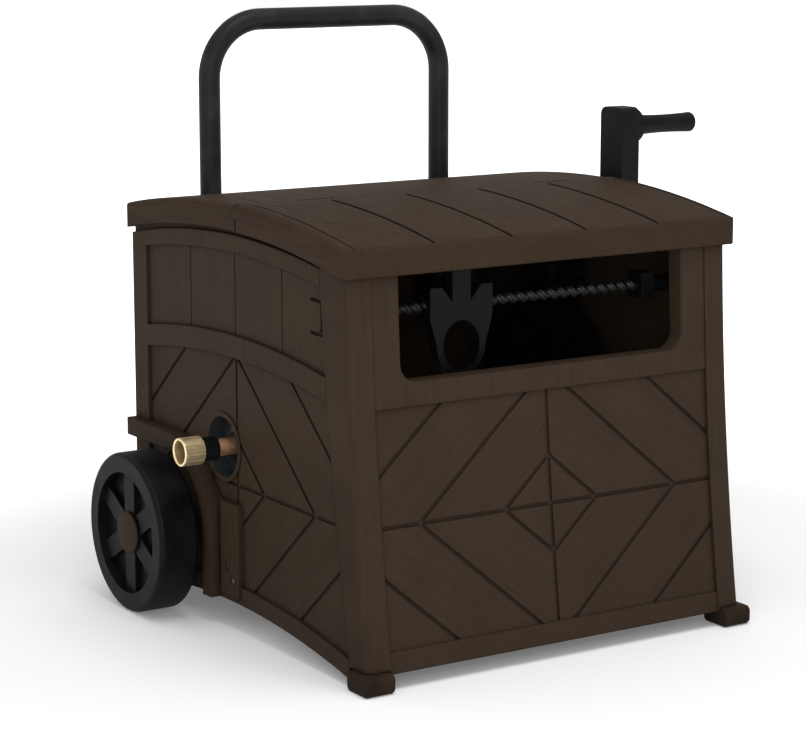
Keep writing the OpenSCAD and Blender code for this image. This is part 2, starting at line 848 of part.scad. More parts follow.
module front_lid() {
    plank = 2 * (lid_hw - lid_border) / lid_planks;
    low_r = arch_r - skirt_h;
    color(resin_top) in_place() difference() {
        intersection() {
            lid_swept() lid_section(0, low_r);
            union() {
                block([-far, -lid_d / 2, 0], [far, hinge_y, lid_crest_z + cut_over]);
                rod_x(-far, far, hinge_y, hinge_z, barrel_r);
            }
        }
        difference() {
            intersection() {
                lid_swept() lid_section(lid_wall, low_r - skirt_h);
                block([-far, lid_wall - lid_d / 2, 0], [far, hinge_y + 2 * barrel_r, lid_crest_z + cut_over]);
            }
            rod_x(-far, far, hinge_y, hinge_z, barrel_r);
        }
        knuckles(barrel_r + seam_gap, seam_gap);
        hinge_holes();
        intersection() {
            lid_swept()
                for (k = [0 : lid_planks]) {
                    deep = k % lid_planks == 0 ? border_groove_deep : lid_groove_deep;
                    translate([arch_r - deep, (k - lid_planks / 2) * plank - lid_groove_w / 2])
                        square([deep + cut_over, lid_groove_w]);
                }
            block([-far, -far, 0], [far, hinge_y - 2 * barrel_r, lid_crest_z + cut_over]);
        }
    }
}
module rear_lid() {
    low_r = arch_r - skirt_h;
    color(resin_top) in_place() difference() {
        union() {
            difference() {
                intersection() {
                    lid_swept() lid_section(rear_step, low_r);
                    block([-far, hinge_y + skirt_gap, 0], [far, lid_d / 2, lid_crest_z + cut_over]);
                }
                intersection() {
                    lid_swept() lid_section(lid_wall, low_r - skirt_h);
                    block([-far, hinge_y, 0], [far, lid_d / 2 - lid_wall, lid_crest_z + cut_over]);
                }
                rod_x(-far, far, hinge_y, hinge_z, barrel_r + seam_gap);
                block(
                    [-far, hinge_y - cut_over, hinge_z - knuckle_drop],
                    [far, hinge_y + lean_room, lid_crest_z + cut_over]
                );
            }
            knuckles(barrel_r, 0);
            for (s = [-1, 1]) translate([s * knuckle_x - knuckle_w / 2, hinge_y, hinge_z - barrel_r]) {
                cube([knuckle_w, lean_room + knuckle_web, barrel_r - knuckle_drop]);
                translate([0, lean_room, 0]) cube([knuckle_w, knuckle_web, 2 * barrel_r - lid_wall / 2]);
            }
        }
        hinge_holes();
        for (s = [-1, 1])
            translate([s * handle_hw, handle_y, lid_edge_z])
                cylinder(h = lid_crest_z - lid_edge_z + cut_over, r = tube_r + handle_hole_gap);
    }
}
module lid_hinge_pins() {
    color(steel) in_place()
        for (s = [-1, 1])
            rod_x(
                s * knuckle_x - hinge_pin_len / 2, s * knuckle_x + hinge_pin_len / 2,
                hinge_y, hinge_z, hinge_pin_r
            );
}

// Feet and bottom brace
module foot() {
    chamfer = foot_out / 2;
    y0 = foot_front_y;
    y1 = foot_front_y + foot_d;
    along_x(box_hw + foot_out - foot_w, box_hw + foot_out)
        polygon([
            [y0 + chamfer, 0], [y1 - chamfer, 0], [y1, chamfer], [y1, foot_h],
            [y0 + chamfer, foot_h], [y0, foot_h - chamfer], [y0, chamfer]
        ]);
}
module foot_left() { color(resin) in_place() mirror([1, 0, 0]) foot(); }
module foot_right() { color(resin) in_place() foot(); }
module bottom_brace() {
    hw = inner_hw - rest_gap;
    y0 = pad_rear_y - pad_w;
    color(resin) in_place() difference() {
        union() {
            difference() {
                block([-hw, y0, pad_low_z], [hw, pad_rear_y, pad_low_z + brace_h]);
                block(
                    [-hw + brace_ear, y0 + brace_wall, pad_low_z - cut_over],
                    [hw - brace_ear, pad_rear_y - brace_wall, pad_low_z + brace_h - brace_wall]
                );
            }
            both_sides() block([hw - brace_ear, y0, pad_low_z], [hw, pad_rear_y, pad_low_z + brace_ear_h]);
        }
        both_sides() brace_places()
            rod_x(-hw - cut_over, -hw + brace_ear - brace_wall, 0, 0, brace_screw_r + fit_gap);
    }
}
module brace_screws() {
    head_x = -box_hw - pad_out + brace_sink;
    color(steel) in_place() both_sides() brace_places() {
        rod_x(head_x - brace_head_t, head_x - rest_gap, 0, 0, brace_head_r);
        rod_x(head_x - brace_head_t / 2, -inner_hw + brace_ear - 2 * brace_wall, 0, 0, brace_screw_r);
    }
}

// Handle
module handle_path(r, low_z) {
    for (s = [-1, 1])
        translate([s * handle_hw, 0, low_z]) cylinder(h = handle_z - bend_r - low_z, r = r);
    both_sides() translate([-handle_hw + bend_r, 0, handle_z - bend_r])
        rotate([90, 0, 0]) rotate([0, 0, 90])
            rotate_extrude(angle = 90) translate([bend_r, 0]) circle(r = r);
    rod_x(-handle_hw + bend_r, handle_hw - bend_r, 0, handle_z, r);
}
module handle_tube() {
    low_z = sleeve_low_z - plug_h + plug_floor;
    color(black) in_place() translate([0, handle_y, 0]) difference() {
        handle_path(tube_r, low_z);
        handle_path(tube_r - tube_wall, low_z - cut_over);
    }
}
module handle_end_plugs() {
    low_z = sleeve_low_z - plug_h;
    color(black) in_place()
        for (s = [-1, 1]) translate([s * handle_hw, handle_y, low_z]) difference() {
            cylinder(h = plug_h - rest_gap, r = tube_r + plug_rim);
            translate([0, 0, plug_floor]) cylinder(h = plug_h, r = tube_r + fit_gap);
        }
}
module handle_sleeve() {
    half = tube_r + sleeve_wall;
    difference() {
        block(
            [handle_hw - half, handle_y - half, sleeve_low_z],
            [handle_hw + half, rear_y - panel_t, sleeve_low_z + sleeve_h]
        );
        translate([handle_hw, handle_y, sleeve_low_z - cut_over])
            cylinder(h = sleeve_h + 2 * cut_over, r = tube_r + slide_gap);
    }
}
module handle_sleeve_left() { color(black) in_place() mirror([1, 0, 0]) handle_sleeve(); }
module handle_sleeve_right() { color(black) in_place() handle_sleeve(); }

// Wheels and axle
module wheel() {
    rim_r = wheel_r - rim_t;
    difference() {
        union() {
            rotate_extrude() {
                translate([rim_r, 0]) square([rim_t - shoulder_r, wheel_w]);
                translate([rim_r, shoulder_r]) square([rim_t, wheel_w - 2 * shoulder_r]);
                for (h = [shoulder_r, wheel_w - shoulder_r])
                    translate([wheel_r - shoulder_r, h]) circle(r = shoulder_r);
                translate([hub_r - web_t / 2, web_in]) square([rim_r - hub_r + web_t, web_t]);
                translate([axle_r + run_gap, -hub_back]) square([hub_r - axle_r - run_gap, hub_back + hub_out]);
            }
            for (k = [0 : spoke_n - 1]) rotate([0, 0, k * 360 / spoke_n])
                translate([hub_r - web_t / 2, -spoke_w / 2, web_in + web_t / 2])
                    cube([rim_r - hub_r + web_t, spoke_w, wheel_w - spoke_in - web_in - web_t / 2]);
        }
        translate([0, 0, hub_out - nut_seat]) cylinder(h = nut_seat + cut_over, r = nut_seat_r);
    }
}
module at_wheel(side) {
    in_place() translate([side * wheel_x, axle_y, wheel_r]) rotate([0, side * 90, 0]) children();
}
module hub_cap() {
    cap_r = cap_d / 2;
    seat = hub_out + rest_gap;
    dome = [for (i = [0 : curve_n]) let (r = cap_r * (1 - i / curve_n))
        [r, seat + cap_disc + cap_rise * (1 - pow(r / cap_r, 2))]];
    rotate_extrude() {
        polygon(concat([[0, seat], [cap_r, seat]], dome));
        translate([nut_seat_r - fit_gap - cap_skirt_t, hub_out - cap_skirt])
            square([cap_skirt_t, cap_skirt + cap_disc / 2]);
    }
}
module wheel_left() { color(black) at_wheel(-1) wheel(); }
module wheel_right() { color(black) at_wheel(1) wheel(); }
module hub_cap_left() { color(resin) at_wheel(-1) hub_cap(); }
module hub_cap_right() { color(resin) at_wheel(1) hub_cap(); }
module axle() { color(steel) in_place() rod_x(-axle_end_x, axle_end_x, axle_y, wheel_r, axle_r); }
module axle_washers() {
    color(steel) in_place() both_sides()
        ring_x(field_x + rest_gap, box_hw - rest_gap, axle_y, wheel_r, washer_r, axle_r + fit_gap);
}
module axle_push_nuts() {
    seat_x = wheel_x + hub_out - nut_seat + rest_gap;
    color(steel) in_place() both_sides()
        ring_x(seat_x, seat_x + push_nut_t, axle_y, wheel_r, push_nut_r, axle_r + fit_gap);
}

// Inlet
module inlet_cup() {
    end_x = -box_hw + cup_deep;
    color(black) in_place() difference() {
        union() {
            rod_x(-field_x - cup_rim_t, end_x, reel_y, reel_z, cup_r);
            rod_x(-field_x - cup_rim_t, -field_x - rest_gap, reel_y, reel_z, cup_r + cup_rim);
        }
        rod_x(-box_hw - cut_over, end_x - cup_wall, reel_y, reel_z, cup_r - cup_wall);
        rod_x(-box_hw, end_x + cut_over, reel_y, reel_z, shaft_r + bush_wall + fit_gap);
    }
}
module inlet_tube() {
    lip_x = nut_x + nut_len - nut_floor - rest_gap;
    color(brass) in_place() difference() {
        union() {
            rod_x(lip_x - inlet_lip_t, -reel_w / 2 + inlet_tail, reel_y, reel_z, inlet_r);
            rod_x(lip_x - inlet_lip_t, lip_x, reel_y, reel_z, inlet_r + inlet_lip);
        }
        rod_x(nut_x, -reel_w / 2 + inlet_tail + cut_over, reel_y, reel_z, inlet_bore_r);
    }
}
module inlet_collar() {
    x0 = nut_x + nut_len + collar_gap;
    color(black) in_place()
        ring_x(x0, x0 + collar_len, reel_y, reel_z, inlet_r + collar_t, inlet_r + fit_gap);
}
module inlet_swivel_nut() {
    color(brass) in_place() difference() {
        rod_x(nut_x, nut_x + nut_len, reel_y, reel_z, nut_r);
        rod_x(nut_x - cut_over, nut_x + nut_len - nut_floor, reel_y, reel_z, thread_r);
        rod_x(nut_x + thread_len, nut_x + nut_len - nut_floor, reel_y, reel_z, seat_r);
        rod_x(nut_x, nut_x + nut_len + cut_over, reel_y, reel_z, inlet_r + run_gap);
        for (k = [0 : nut_notches - 1]) {
            a = k * 360 / nut_notches;
            rod_x(
                nut_x + nut_notch_r, nut_x + nut_len + cut_over,
                reel_y + (nut_r + nut_notch_r / 2) * cos(a), reel_z + (nut_r + nut_notch_r / 2) * sin(a),
                nut_notch_r
            );
        }
    }
}
module inlet_washer() {
    seat_x = nut_x + nut_len - nut_floor - 2 * rest_gap - inlet_lip_t;
    color(black) in_place()
        ring_x(seat_x - inlet_washer_t, seat_x, reel_y, reel_z, seat_r - fit_gap, inlet_bore_r);
}

// Reel
module reel_drum() {
    x1 = reel_w / 2 - rest_gap;
    color(black) in_place() difference() {
        ring_x(-x1, x1, reel_y, reel_z, drum_r, drum_r - drum_wall);
        translate([-reel_w * outlet_x_share, reel_y, reel_z])
            cylinder(h = drum_r + cut_over, r = outlet_stem_r + fit_gap);
    }
}
module reel_flange(side) {
    x0 = reel_w / 2;
    color(black) in_place() mirror([side < 0 ? 1 : 0, 0, 0]) difference() {
        union() {
            rod_x(x0, flange_out_x, reel_y, reel_z, flange_r);
            ring_x(x0 - rim_bead_t, x0 + flange_t / 2, reel_y, reel_z, flange_r, flange_r - rim_bead);
        }
        rod_x(x0 - cut_over, flange_out_x + cut_over, reel_y, reel_z, shaft_r + fit_gap);
    }
}
module reel_flange_left() { reel_flange(-1); }
module reel_flange_right() { reel_flange(1); }
module reel_shaft_left() {
    bush_x = -box_hw + cup_deep - cup_wall - bush_l_len / 2;
    color(black) in_place() difference() {
        rod_x(bush_x, -reel_w / 2 + shaft_tail, reel_y, reel_z, shaft_r);
        rod_x(bush_x - cut_over, -reel_w / 2 + shaft_tail + cut_over, reel_y, reel_z, inlet_r + fit_gap);
    }
}
module reel_shaft_right() {
    color(black) in_place()
        rod_x(reel_w / 2 - shaft_tail, inner_hw - bush_flange_t - rest_gap, reel_y, reel_z, shaft_r);
}
module reel_bush_left() {
    x1 = -box_hw + cup_deep + bush_flange_t;
    color(grey) in_place() {
        ring_x(x1 - bush_l_len, x1, reel_y, reel_z, shaft_r + bush_wall, shaft_r + run_gap);
        ring_x(
            -box_hw + cup_deep + rest_gap, x1, reel_y, reel_z,
            shaft_r + bush_wall + bush_flange_t, shaft_r + bush_wall / 2
        );
    }
}
module reel_bush_right() {
    x1 = inner_hw - rest_gap;
    color(grey) in_place() difference() {
        union() {
            rod_x(x1 - bush_r_len, x1, reel_y, reel_z, shaft_r + bush_wall);
            rod_x(x1 - bush_flange_t, x1, reel_y, reel_z, shaft_r + bush_wall + bush_flange_w);
        }
        rod_x(x1 - bush_r_len - cut_over, x1 - bush_flange_t + cut_over, reel_y, reel_z, shaft_r + run_gap);
    }
}
module reel_drive_gear() {
    color(grey) in_place() {
        gear(gear_x, gear_end_x, reel_y, reel_z, reel_teeth, gear_m, 0, shaft_r + run_gap, bore_sides);
        gear_boss(flange_out_x + fit_gap, gear_x + gear_t / 2);
    }
}
module gear_boss(x0, x1) {
    translate([0, reel_y, reel_z]) along_x(x0, x1) difference() {
        circle(r = gear_boss_r, $fn = bore_sides);
        circle(r = flat_r(shaft_r + run_gap, bore_sides), $fn = bore_sides);
    }
}
module reel_train_gear() {
    color(grey) in_place() {
        gear(-gear_end_x, -gear_x, reel_y, reel_z, train_teeth, train_m, 0, shaft_r + run_gap, bore_sides);
        gear_boss(-gear_x - gear_t / 2, -flange_out_x - fit_gap);
    }
}
module hose_outlet() {
    color(brass) in_place() translate([-reel_w * outlet_x_share, reel_y, reel_z]) difference() {
        union() {
            translate([0, 0, inlet_r]) cylinder(h = drum_r - inlet_r, r = outlet_stem_r);
            translate([0, 0, drum_r + rest_gap])
                cylinder(h = outlet_hex_h - rest_gap, r = outlet_hex_r, $fn = hex_sides);
            translate([0, 0, drum_r - drum_wall])
                cylinder(h = drum_wall + outlet_hex_h / 2, r = outlet_stem_r);
            translate([0, 0, drum_r + outlet_hex_h])
                cylinder(h = outlet_thread_h, r = outlet_thread_r);
        }
        cylinder(h = far, r = outlet_bore_r);
    }
}

// Gear train to the traverse screw
idler_dir = atan2(idler_z - reel_z, idler_y - reel_y);
screw_dir = atan2(screw_z - idler_z, screw_y - idler_y);
idler_turn = mesh_turn(train_teeth, idler_teeth, 0, idler_dir);
screw_turn = mesh_turn(idler_teeth, screw_teeth, idler_turn, screw_dir);
module idler_gear() {
    color(grey) in_place()
        gear(
            -gear_end_x + idler_in, -gear_x - idler_in, idler_y, idler_z, idler_teeth, train_m, idler_turn,
            idler_bush_r + fit_gap, bore_sides
        );
}
module idler_bush() {
    color(black) in_place()
        ring_x(-gear_end_x + idler_in, -gear_x - idler_in, idler_y, idler_z, idler_bush_r, stud_r + run_gap);
}
module idler_stud() {
    head_x = -gear_x - idler_in + rest_gap;
    color(steel) in_place() {
        rod_x(-inner_hw + rest_gap, head_x + stud_head_t, idler_y, idler_z, stud_r);
        rod_x(head_x, head_x + stud_head_t, idler_y, idler_z, stud_head_r);
        rod_x(-inner_hw + rest_gap, -inner_hw + stud_foot_t, idler_y, idler_z, stud_foot_r);
    }
}
module screw_gear() {
    color(grey) in_place()
        gear(
            -gear_end_x, -gear_x, screw_y, screw_z, screw_teeth, train_m, screw_turn,
            journal_r + fit_gap, hex_sides
        );
}
module traverse_screw() {
    x0 = -gear_x + gear_gap;
    x1 = bearing_x - thread_gap;
    turns = (x1 - x0) / thread_pitch;
    color(grey) in_place() {
        translate([x0, screw_y, screw_z]) rotate([0, 90, 0])
            linear_extrude(
                x1 - x0, twist = -360 * turns, slices = ceil(thread_slices * turns), $fn = thread_sides
            )
                translate([thread_deep, 0]) circle(r = screw_r - thread_deep, $fn = thread_sides);
        rod_x(x1 - thread_gap, bearing_x + bearing_w, screw_y, screw_z, journal_r);
        hex_x(-gear_end_x, x0 + thread_gap, screw_y, screw_z, flat_r(journal_r, hex_sides));
        rod_x(-inner_hw + rest_gap, -gear_end_x, screw_y, screw_z, journal_r);
    }
}
module screw_bearing_left() {
    x0 = -inner_hw + rest_gap;
    color(black) in_place() ring_x(x0, x0 + bearing_l_len, screw_y, screw_z, bearing_l_r, journal_r + run_gap);
}
module screw_bearing_right() {
    color(black) in_place() difference() {
        union() {
            block(
                [bearing_x, screw_y - bearing_hw, screw_z - bearing_hh],
                [bearing_x + bearing_w, screw_y + bearing_hw, screw_z + bearing_hh]
            );
            rod_x(bearing_x + bearing_w / 2, inner_hw - rest_gap, screw_y, screw_z, bearing_arm_r);
        }
        rod_x(bearing_x - cut_over, bearing_x + bearing_w + rest_gap, screw_y, screw_z, journal_r + run_gap);
    }
}
module guide_rod() {
    x1 = inner_hw - boss_h + rod_seat;
    color(steel) in_place() rod_x(-x1, x1, screw_y, rod_z, rod_r);
}

// Hose guide
function ellipse(w, h) =
    [for (k = [0 : eye_n - 1]) let (a = k * 360 / eye_n) [w / 2 * cos(a), h / 2 * sin(a)]];
module guide_outline() {
    half = guide_w / 2;
    neck = eye_w / 2 + eye_rim;
    translate([0, eye_z]) polygon(ellipse(eye_w + 2 * eye_rim, eye_h + 2 * eye_rim));
    polygon([
        [-neck, eye_z], [-half, screw_z - guide_barrel_r], [-half, screw_z + horn_h],
        [-half + horn_w, screw_z + horn_h], [-tab_w / 2, screw_z + notch_z], [-tab_w / 2, rod_z],
        [tab_w / 2, rod_z], [tab_w / 2, screw_z + notch_z], [half - horn_w, screw_z + horn_h],
        [half, screw_z + horn_h], [half, screw_z - guide_barrel_r], [neck, eye_z]
    ]);
}
module hose_guide() {
    half = guide_w / 2;
    color(grey) in_place() translate([guide_x, 0, 0]) difference() {
        union() {
            along_y(guide_front_y, guide_front_y + guide_t) difference() {
                guide_outline();
                translate([0, eye_z]) polygon(ellipse(eye_w, eye_h));
            }
            both_sides() rod_x(half - horn_w, half, screw_y, screw_z, guide_barrel_r);
            rod_x(-tab_w / 2, tab_w / 2, screw_y, screw_z, guide_barrel_r);
            rod_x(-tab_w / 2, tab_w / 2, screw_y, rod_z, rod_eye_r);
        }
        rod_x(-half - cut_over, half + cut_over, screw_y, screw_z, screw_r + slide_gap);
        rod_x(-half - cut_over, half + cut_over, screw_y, rod_z, rod_r + run_gap);
        translate([0, screw_y, screw_z]) rotate([-90, 0, 0])
            cylinder(h = guide_barrel_r + cut_over, r = follower_r + fit_gap);
    }
}
module guide_follower() {
    color(black) in_place() translate([guide_x, screw_y + screw_r + slide_gap, screw_z]) rotate([-90, 0, 0]) {
        cylinder(h = follower_len, r = follower_r);
        translate([0, 0, guide_barrel_r - screw_r])
            cylinder(h = follower_len / 2, r = follower_r + fit_gap + follower_lip);
    }
}

// Crank
module arm_outline(grow) {
    half = arm_w / 2 - grow;
    top = arm_len + arm_end - grow;
    round_r = arm_corner - grow;
    translate([-half, 0]) square([2 * half, top - round_r]);
    translate([-half + round_r, 0]) square([2 * (half - round_r), top]);
    for (s = [-1, 1]) translate([s * (half - round_r), top - round_r]) circle(r = round_r);
}
module crank_arm() {
    pocket_low = arm_hub_r + arm_wall;
    pocket_top = arm_len - grip_boss_r - arm_wall;
    pocket_h = (pocket_top - pocket_low - (arm_ribs - 1) * arm_rib_t) / arm_ribs;
    color(black) in_place() translate([0, crank_y, crank_z]) difference() {
        union() {
            along_x(arm_x, arm_out_x) {
                arm_outline(0);
                circle(r = arm_hub_r);
            }
            rod_x(arm_x - arm_hub_in, arm_x + arm_wall, 0, 0, arm_hub_r - arm_wall);
            rod_x(arm_out_x - arm_wall, grip_x - rest_gap, 0, arm_len, grip_boss_r);
        }
        for (k = [0 : arm_ribs - 1])
            along_x(arm_x + arm_wall, arm_out_x + cut_over)
                translate([-arm_w / 2 + arm_wall, pocket_low + k * (pocket_h + arm_rib_t)])
                    square([arm_w - 2 * arm_wall, pocket_h]);
        rod_x(arm_x - arm_hub_in - cut_over, arm_out_x - shaft_seat, 0, 0, crank_r + fit_gap);
        rod_x(arm_out_x - spindle_root, grip_x + cut_over, 0, arm_len, spindle_r + fit_gap);
    }
}
module crank_shaft() {
    hex_x0 = gear_x - gear_gap / 2;
    color(steel) in_place() {
        hex_x(hex_x0, hex_x0 + crank_hex_len, crank_y, crank_z, crank_r - fit_gap);
        rod_x(hex_x0 + crank_hex_len - gear_gap, arm_out_x - shaft_seat - rest_gap, crank_y, crank_z, crank_r);
    }
}
module crank_pinion() {
    turn = mesh_turn(reel_teeth, pinion_teeth, 0, 90);
    bore = (crank_r + fit_gap) * cos(180 / hex_sides);
    color(grey) in_place()
        gear(gear_x, gear_end_x, crank_y, crank_z, pinion_teeth, gear_m, turn, bore, hex_sides);
}
module crank_bush() {
    r_out = crank_r + crank_bush_wall;
    color(grey) in_place() difference() {
        union() {
            rod_x(inner_hw - bush_in, box_hw + bush_out, crank_y, crank_z, r_out);
            rod_x(box_hw + rest_gap, box_hw + bush_out, crank_y, crank_z, r_out + bush_lip);
        }
        rod_x(inner_hw - bush_in - cut_over, box_hw + bush_out + cut_over, crank_y, crank_z, crank_r + run_gap);
    }
}
module grip_spindle() {
    head_x = grip_tip_x - spindle_seat;
    color(steel) in_place() {
        rod_x(arm_out_x - spindle_root + rest_gap, head_x + rest_gap, crank_y, grip_z, spindle_r);
        rod_x(head_x + rest_gap, head_x + rest_gap + spindle_head_t, crank_y, grip_z, spindle_head_r);
    }
}
module crank_grip() {
    grip_r = grip_d / 2;
    end_r = grip_r / 3;
    side = [for (i = [0 : curve_n]) let (s = i / curve_n)
        [grip_r - grip_waist * sin(180 * s), end_r + (grip_len - 2 * end_r) * s]];
    nose = [for (i = [1 : curve_n]) let (a = 90 * i / curve_n)
        [grip_r - end_r + end_r * cos(a), grip_len - end_r + end_r * sin(a)]];
    heel = [for (i = [0 : curve_n - 1]) let (a = 90 * i / curve_n)
        [grip_r - end_r + end_r * sin(a), end_r - end_r * cos(a)]];
    color(black) in_place() translate([grip_x, crank_y, grip_z]) rotate([0, 90, 0]) difference() {
        rotate_extrude() polygon(concat([[0, 0]], heel, side, nose, [[0, grip_len]]));
        translate([0, 0, -cut_over]) cylinder(h = grip_len + 2 * cut_over, r = spindle_r + run_gap);
        translate([0, 0, grip_len - spindle_seat])
            cylinder(h = spindle_seat + cut_over, r = spindle_head_r + slide_gap);
    }
}

front_panel();
left_side_panel();
right_side_panel();
rear_panel();
rear_lid();
lid_hinge_pins();
foot_left();
foot_right();
bottom_brace();
brace_screws();
handle_sleeve_left();
handle_sleeve_right();
axle();
axle_washers();
axle_push_nuts();
inlet_cup();
reel_bush_left();
reel_bush_right();
crank_bush();
screw_bearing_left();
screw_bearing_right();
guide_rod();
idler_stud();
front_lid();
handle_tube();
handle_end_plugs();
wheel_left();
hub_cap_left();
wheel_right();
hub_cap_right();
reel_drum();
reel_flange_left();
reel_flange_right();
reel_shaft_left();
reel_shaft_right();
reel_drive_gear();
reel_train_gear();
hose_outlet();
inlet_tube();
inlet_collar();
idler_gear();
idler_bush();
crank_shaft();
crank_pinion();
crank_arm();
grip_spindle();
crank_grip();
traverse_screw();
screw_gear();
hose_guide();
guide_follower();
inlet_swivel_nut();
inlet_washer();
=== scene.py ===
"""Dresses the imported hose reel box: rounded mouldings, grained finishes, camera and a plain pale studio."""

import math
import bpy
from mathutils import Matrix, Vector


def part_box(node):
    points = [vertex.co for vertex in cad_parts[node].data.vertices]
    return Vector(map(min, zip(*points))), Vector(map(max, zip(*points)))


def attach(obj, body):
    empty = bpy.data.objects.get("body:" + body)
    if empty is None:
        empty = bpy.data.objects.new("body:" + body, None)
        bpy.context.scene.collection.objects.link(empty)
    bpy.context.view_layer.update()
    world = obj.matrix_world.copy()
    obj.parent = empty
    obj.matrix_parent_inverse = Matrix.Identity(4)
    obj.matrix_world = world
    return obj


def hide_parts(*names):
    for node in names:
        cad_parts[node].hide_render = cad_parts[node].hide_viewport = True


bl_info = {
    "name": "Hose reel box",
    "version": (1, 0, 0),
    "blender": (4, 5, 0),
    "location": "View3D > Sidebar > Hose reel box",
    "description": "Builds the visible pieces, finishes and studio of a wheeled hose reel box",
    "category": "Object",
}

import bmesh
import bpy
from mathutils import Vector

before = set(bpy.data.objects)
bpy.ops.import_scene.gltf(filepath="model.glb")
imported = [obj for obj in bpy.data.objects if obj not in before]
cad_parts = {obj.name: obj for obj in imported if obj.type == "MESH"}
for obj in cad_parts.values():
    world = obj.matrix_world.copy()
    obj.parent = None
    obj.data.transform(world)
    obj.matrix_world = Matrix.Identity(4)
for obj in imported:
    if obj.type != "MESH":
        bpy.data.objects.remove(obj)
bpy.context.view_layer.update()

MM = 0.001

# Distances of the mesh work
WELD = 0.01 * MM
CUT_NEAR = 0.001 * MM
TOUCH = 0.1 * MM
SIDE_NEAR = 1 * MM

# Turns between faces in degrees, and counts of facets
FLAT_TURN = 0.2
ROUND_TURN = 40
SOFT_TURN = 32
SHADE_TURN = 50
ROUND_STEPS = 5
SOFT_STEPS = 2
SHAVE_CUTS = 5
FORWARD_FACE = -0.8

# Finishes and studio
PLASTIC_IOR = 1.49
WHITE = (1.0, 1.0, 1.0, 1.0)
EYE = Vector((-1653.2, -2442.1, 837.6)) * MM
TARGET = Vector((-48.2, 68.0, 270.2)) * MM
SENSOR_WIDTH = 36.0
FOCAL_LENGTH = 112.56
FAR_CLIP = 50.0
FLOOR_HALF = 12.0
FLOOR_DROP = 0.2 * MM
SKY_LOW = 0.62
SKY_HIGH = 0.95
LAMP_AIM = Vector((0.0, 0.0, 0.3))

# Name, place, side and power of each lamp
LAMPS = (
    ("Top softbox", (-0.1, -0.8, 2.6), 1.4, 34.0),
    ("Front softbox", (-1.7, -2.7, 1.0), 1.6, 29.0),
)

# Places that the finishes follow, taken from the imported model
FRONT_LOW, FRONT_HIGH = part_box("front_panel")
LID_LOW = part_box("front_lid")[0]
REAR_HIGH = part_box("rear_lid")[1]
NUT_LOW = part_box("inlet_swivel_nut")[0]
CUP_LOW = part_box("inlet_cup")[0]
BODY_MID_X = (FRONT_LOW.x + FRONT_HIGH.x) / 2
BODY_HALF = (FRONT_HIGH.x - FRONT_LOW.x) / 2
LID_MID_Y = (LID_LOW.y + REAR_HIGH.y) / 2


def linear(hex_colour):
    """An sRGB hex colour as linear red, green and blue."""
    parts = [int(hex_colour[i : i + 2], 16) / 255 for i in (1, 3, 5)]
    return tuple(c / 12.92 if c <= 0.04045 else ((c + 0.055) / 1.055) ** 2.4 for c in parts)


def length_property(name, description, default):
    """A length for the sidebar."""
    return bpy.props.FloatProperty(name=name, description=description, default=default, unit="LENGTH")


def colour_property(name, description, hex_colour):
    """A colour for the sidebar, given as sRGB hex and kept as linear values."""
    return bpy.props.FloatVectorProperty(
        name=name, description=description, subtype="COLOR", default=linear(hex_colour)
    )


class HoseBoxSizes(bpy.types.PropertyGroup):
    """Sizes of the rounded edges and of the grain. Short edges of a piece can hold its softening lower."""

    edge_soft: length_property("Moulded edge", "Most softening of the panels' small edges", 1.3 * MM)
    small_soft: length_property("Small part edge", "Most softening of the small mouldings", 0.9 * MM)
    foot_soft: length_property("Foot edge", "Most softening of the front feet", 2.6 * MM)
    tube_soft: length_property("Tube edge", "Most softening of the handle tube's ends", 0.39 * MM)
    crank_soft: length_property("Crank edge", "Most softening of the crank arm", 2.08 * MM)
    guide_soft: length_property("Guide edge", "Most softening of the hose guide", 1.8 * MM)
    metal_soft: length_property("Brass edge", "Most softening of the brass fittings", 0.54 * MM)
    mouth_round: length_property("Nut mouth", "Rounding of the swivel nut's mouth", 1.2 * MM)
    post_round: length_property("Post corner", "Rounding of the front posts' outer corners", 8 * MM)
    lid_round: length_property("Lid end edge", "Rounding of the lid's front and rear top edges", 6 * MM)
    lid_corner: length_property("Lid corner", "Rounding of the lid's four upright corners", 9 * MM)
    edge_blend: length_property("Edge sheen", "Reach of the soft sheen along the moulded edges", 3.5 * MM)
    cup_rim: length_property("Cup rim", "Depth of the inlet cup's rim in the panel's colour", 2.4 * MM)
    pattern_mid: length_property("Plank pattern height", "Height of the diagonal planks' middle", 172 * MM)
    plank_field_top: length_property("Plank field top", "Height above which the grain is upright", 300 * MM)
    post_width: length_property("Post width", "Width of the plain posts beside a plank field", 31 * MM)
    plank_slope: bpy.props.FloatProperty(
        name="Plank slope",
        description="Slope of the diagonal planks",
        default=math.radians(41),
        subtype="ANGLE",
    )


class HoseBoxColours(bpy.types.PropertyGroup):
    """Colours of the finishes."""

    resin: colour_property("Resin", "Brown moulded panels", "#352B22")
    resin_dark: colour_property("Resin shade", "Low spots of the panels' grain", "#30271F")
    lid: colour_property("Lid", "Brown moulded lid", "#33291F")
    lid_dark: colour_property("Lid shade", "Low spots of the lid's grain", "#2E241C")
    black: colour_property("Black plastic", "Wheels, crank, reel and hose guide", "#070708")
    black_worn: colour_property("Black plastic bloom", "Greyer patches of black plastic", "#101011")
    grey: colour_property("Grey plastic", "Bushes, gears and traverse screw", "#121314")
    slate: colour_property("Slate plastic", "Inlet cup", "#2B3032")
    powder: colour_property("Powder coat", "Black handle tube", "#1C1C1E")
    brass: colour_property("Brass", "Inlet nut and hose outlet", "#F6E2B4")
    copper: colour_property("Copper", "Inlet tube", "#FFC69C")
    zinc: colour_property("Zinc plate", "Axle, rods, screws and pins", "#A9ABAE")
    rubber: colour_property("Rubber", "Inlet washer", "#131313")


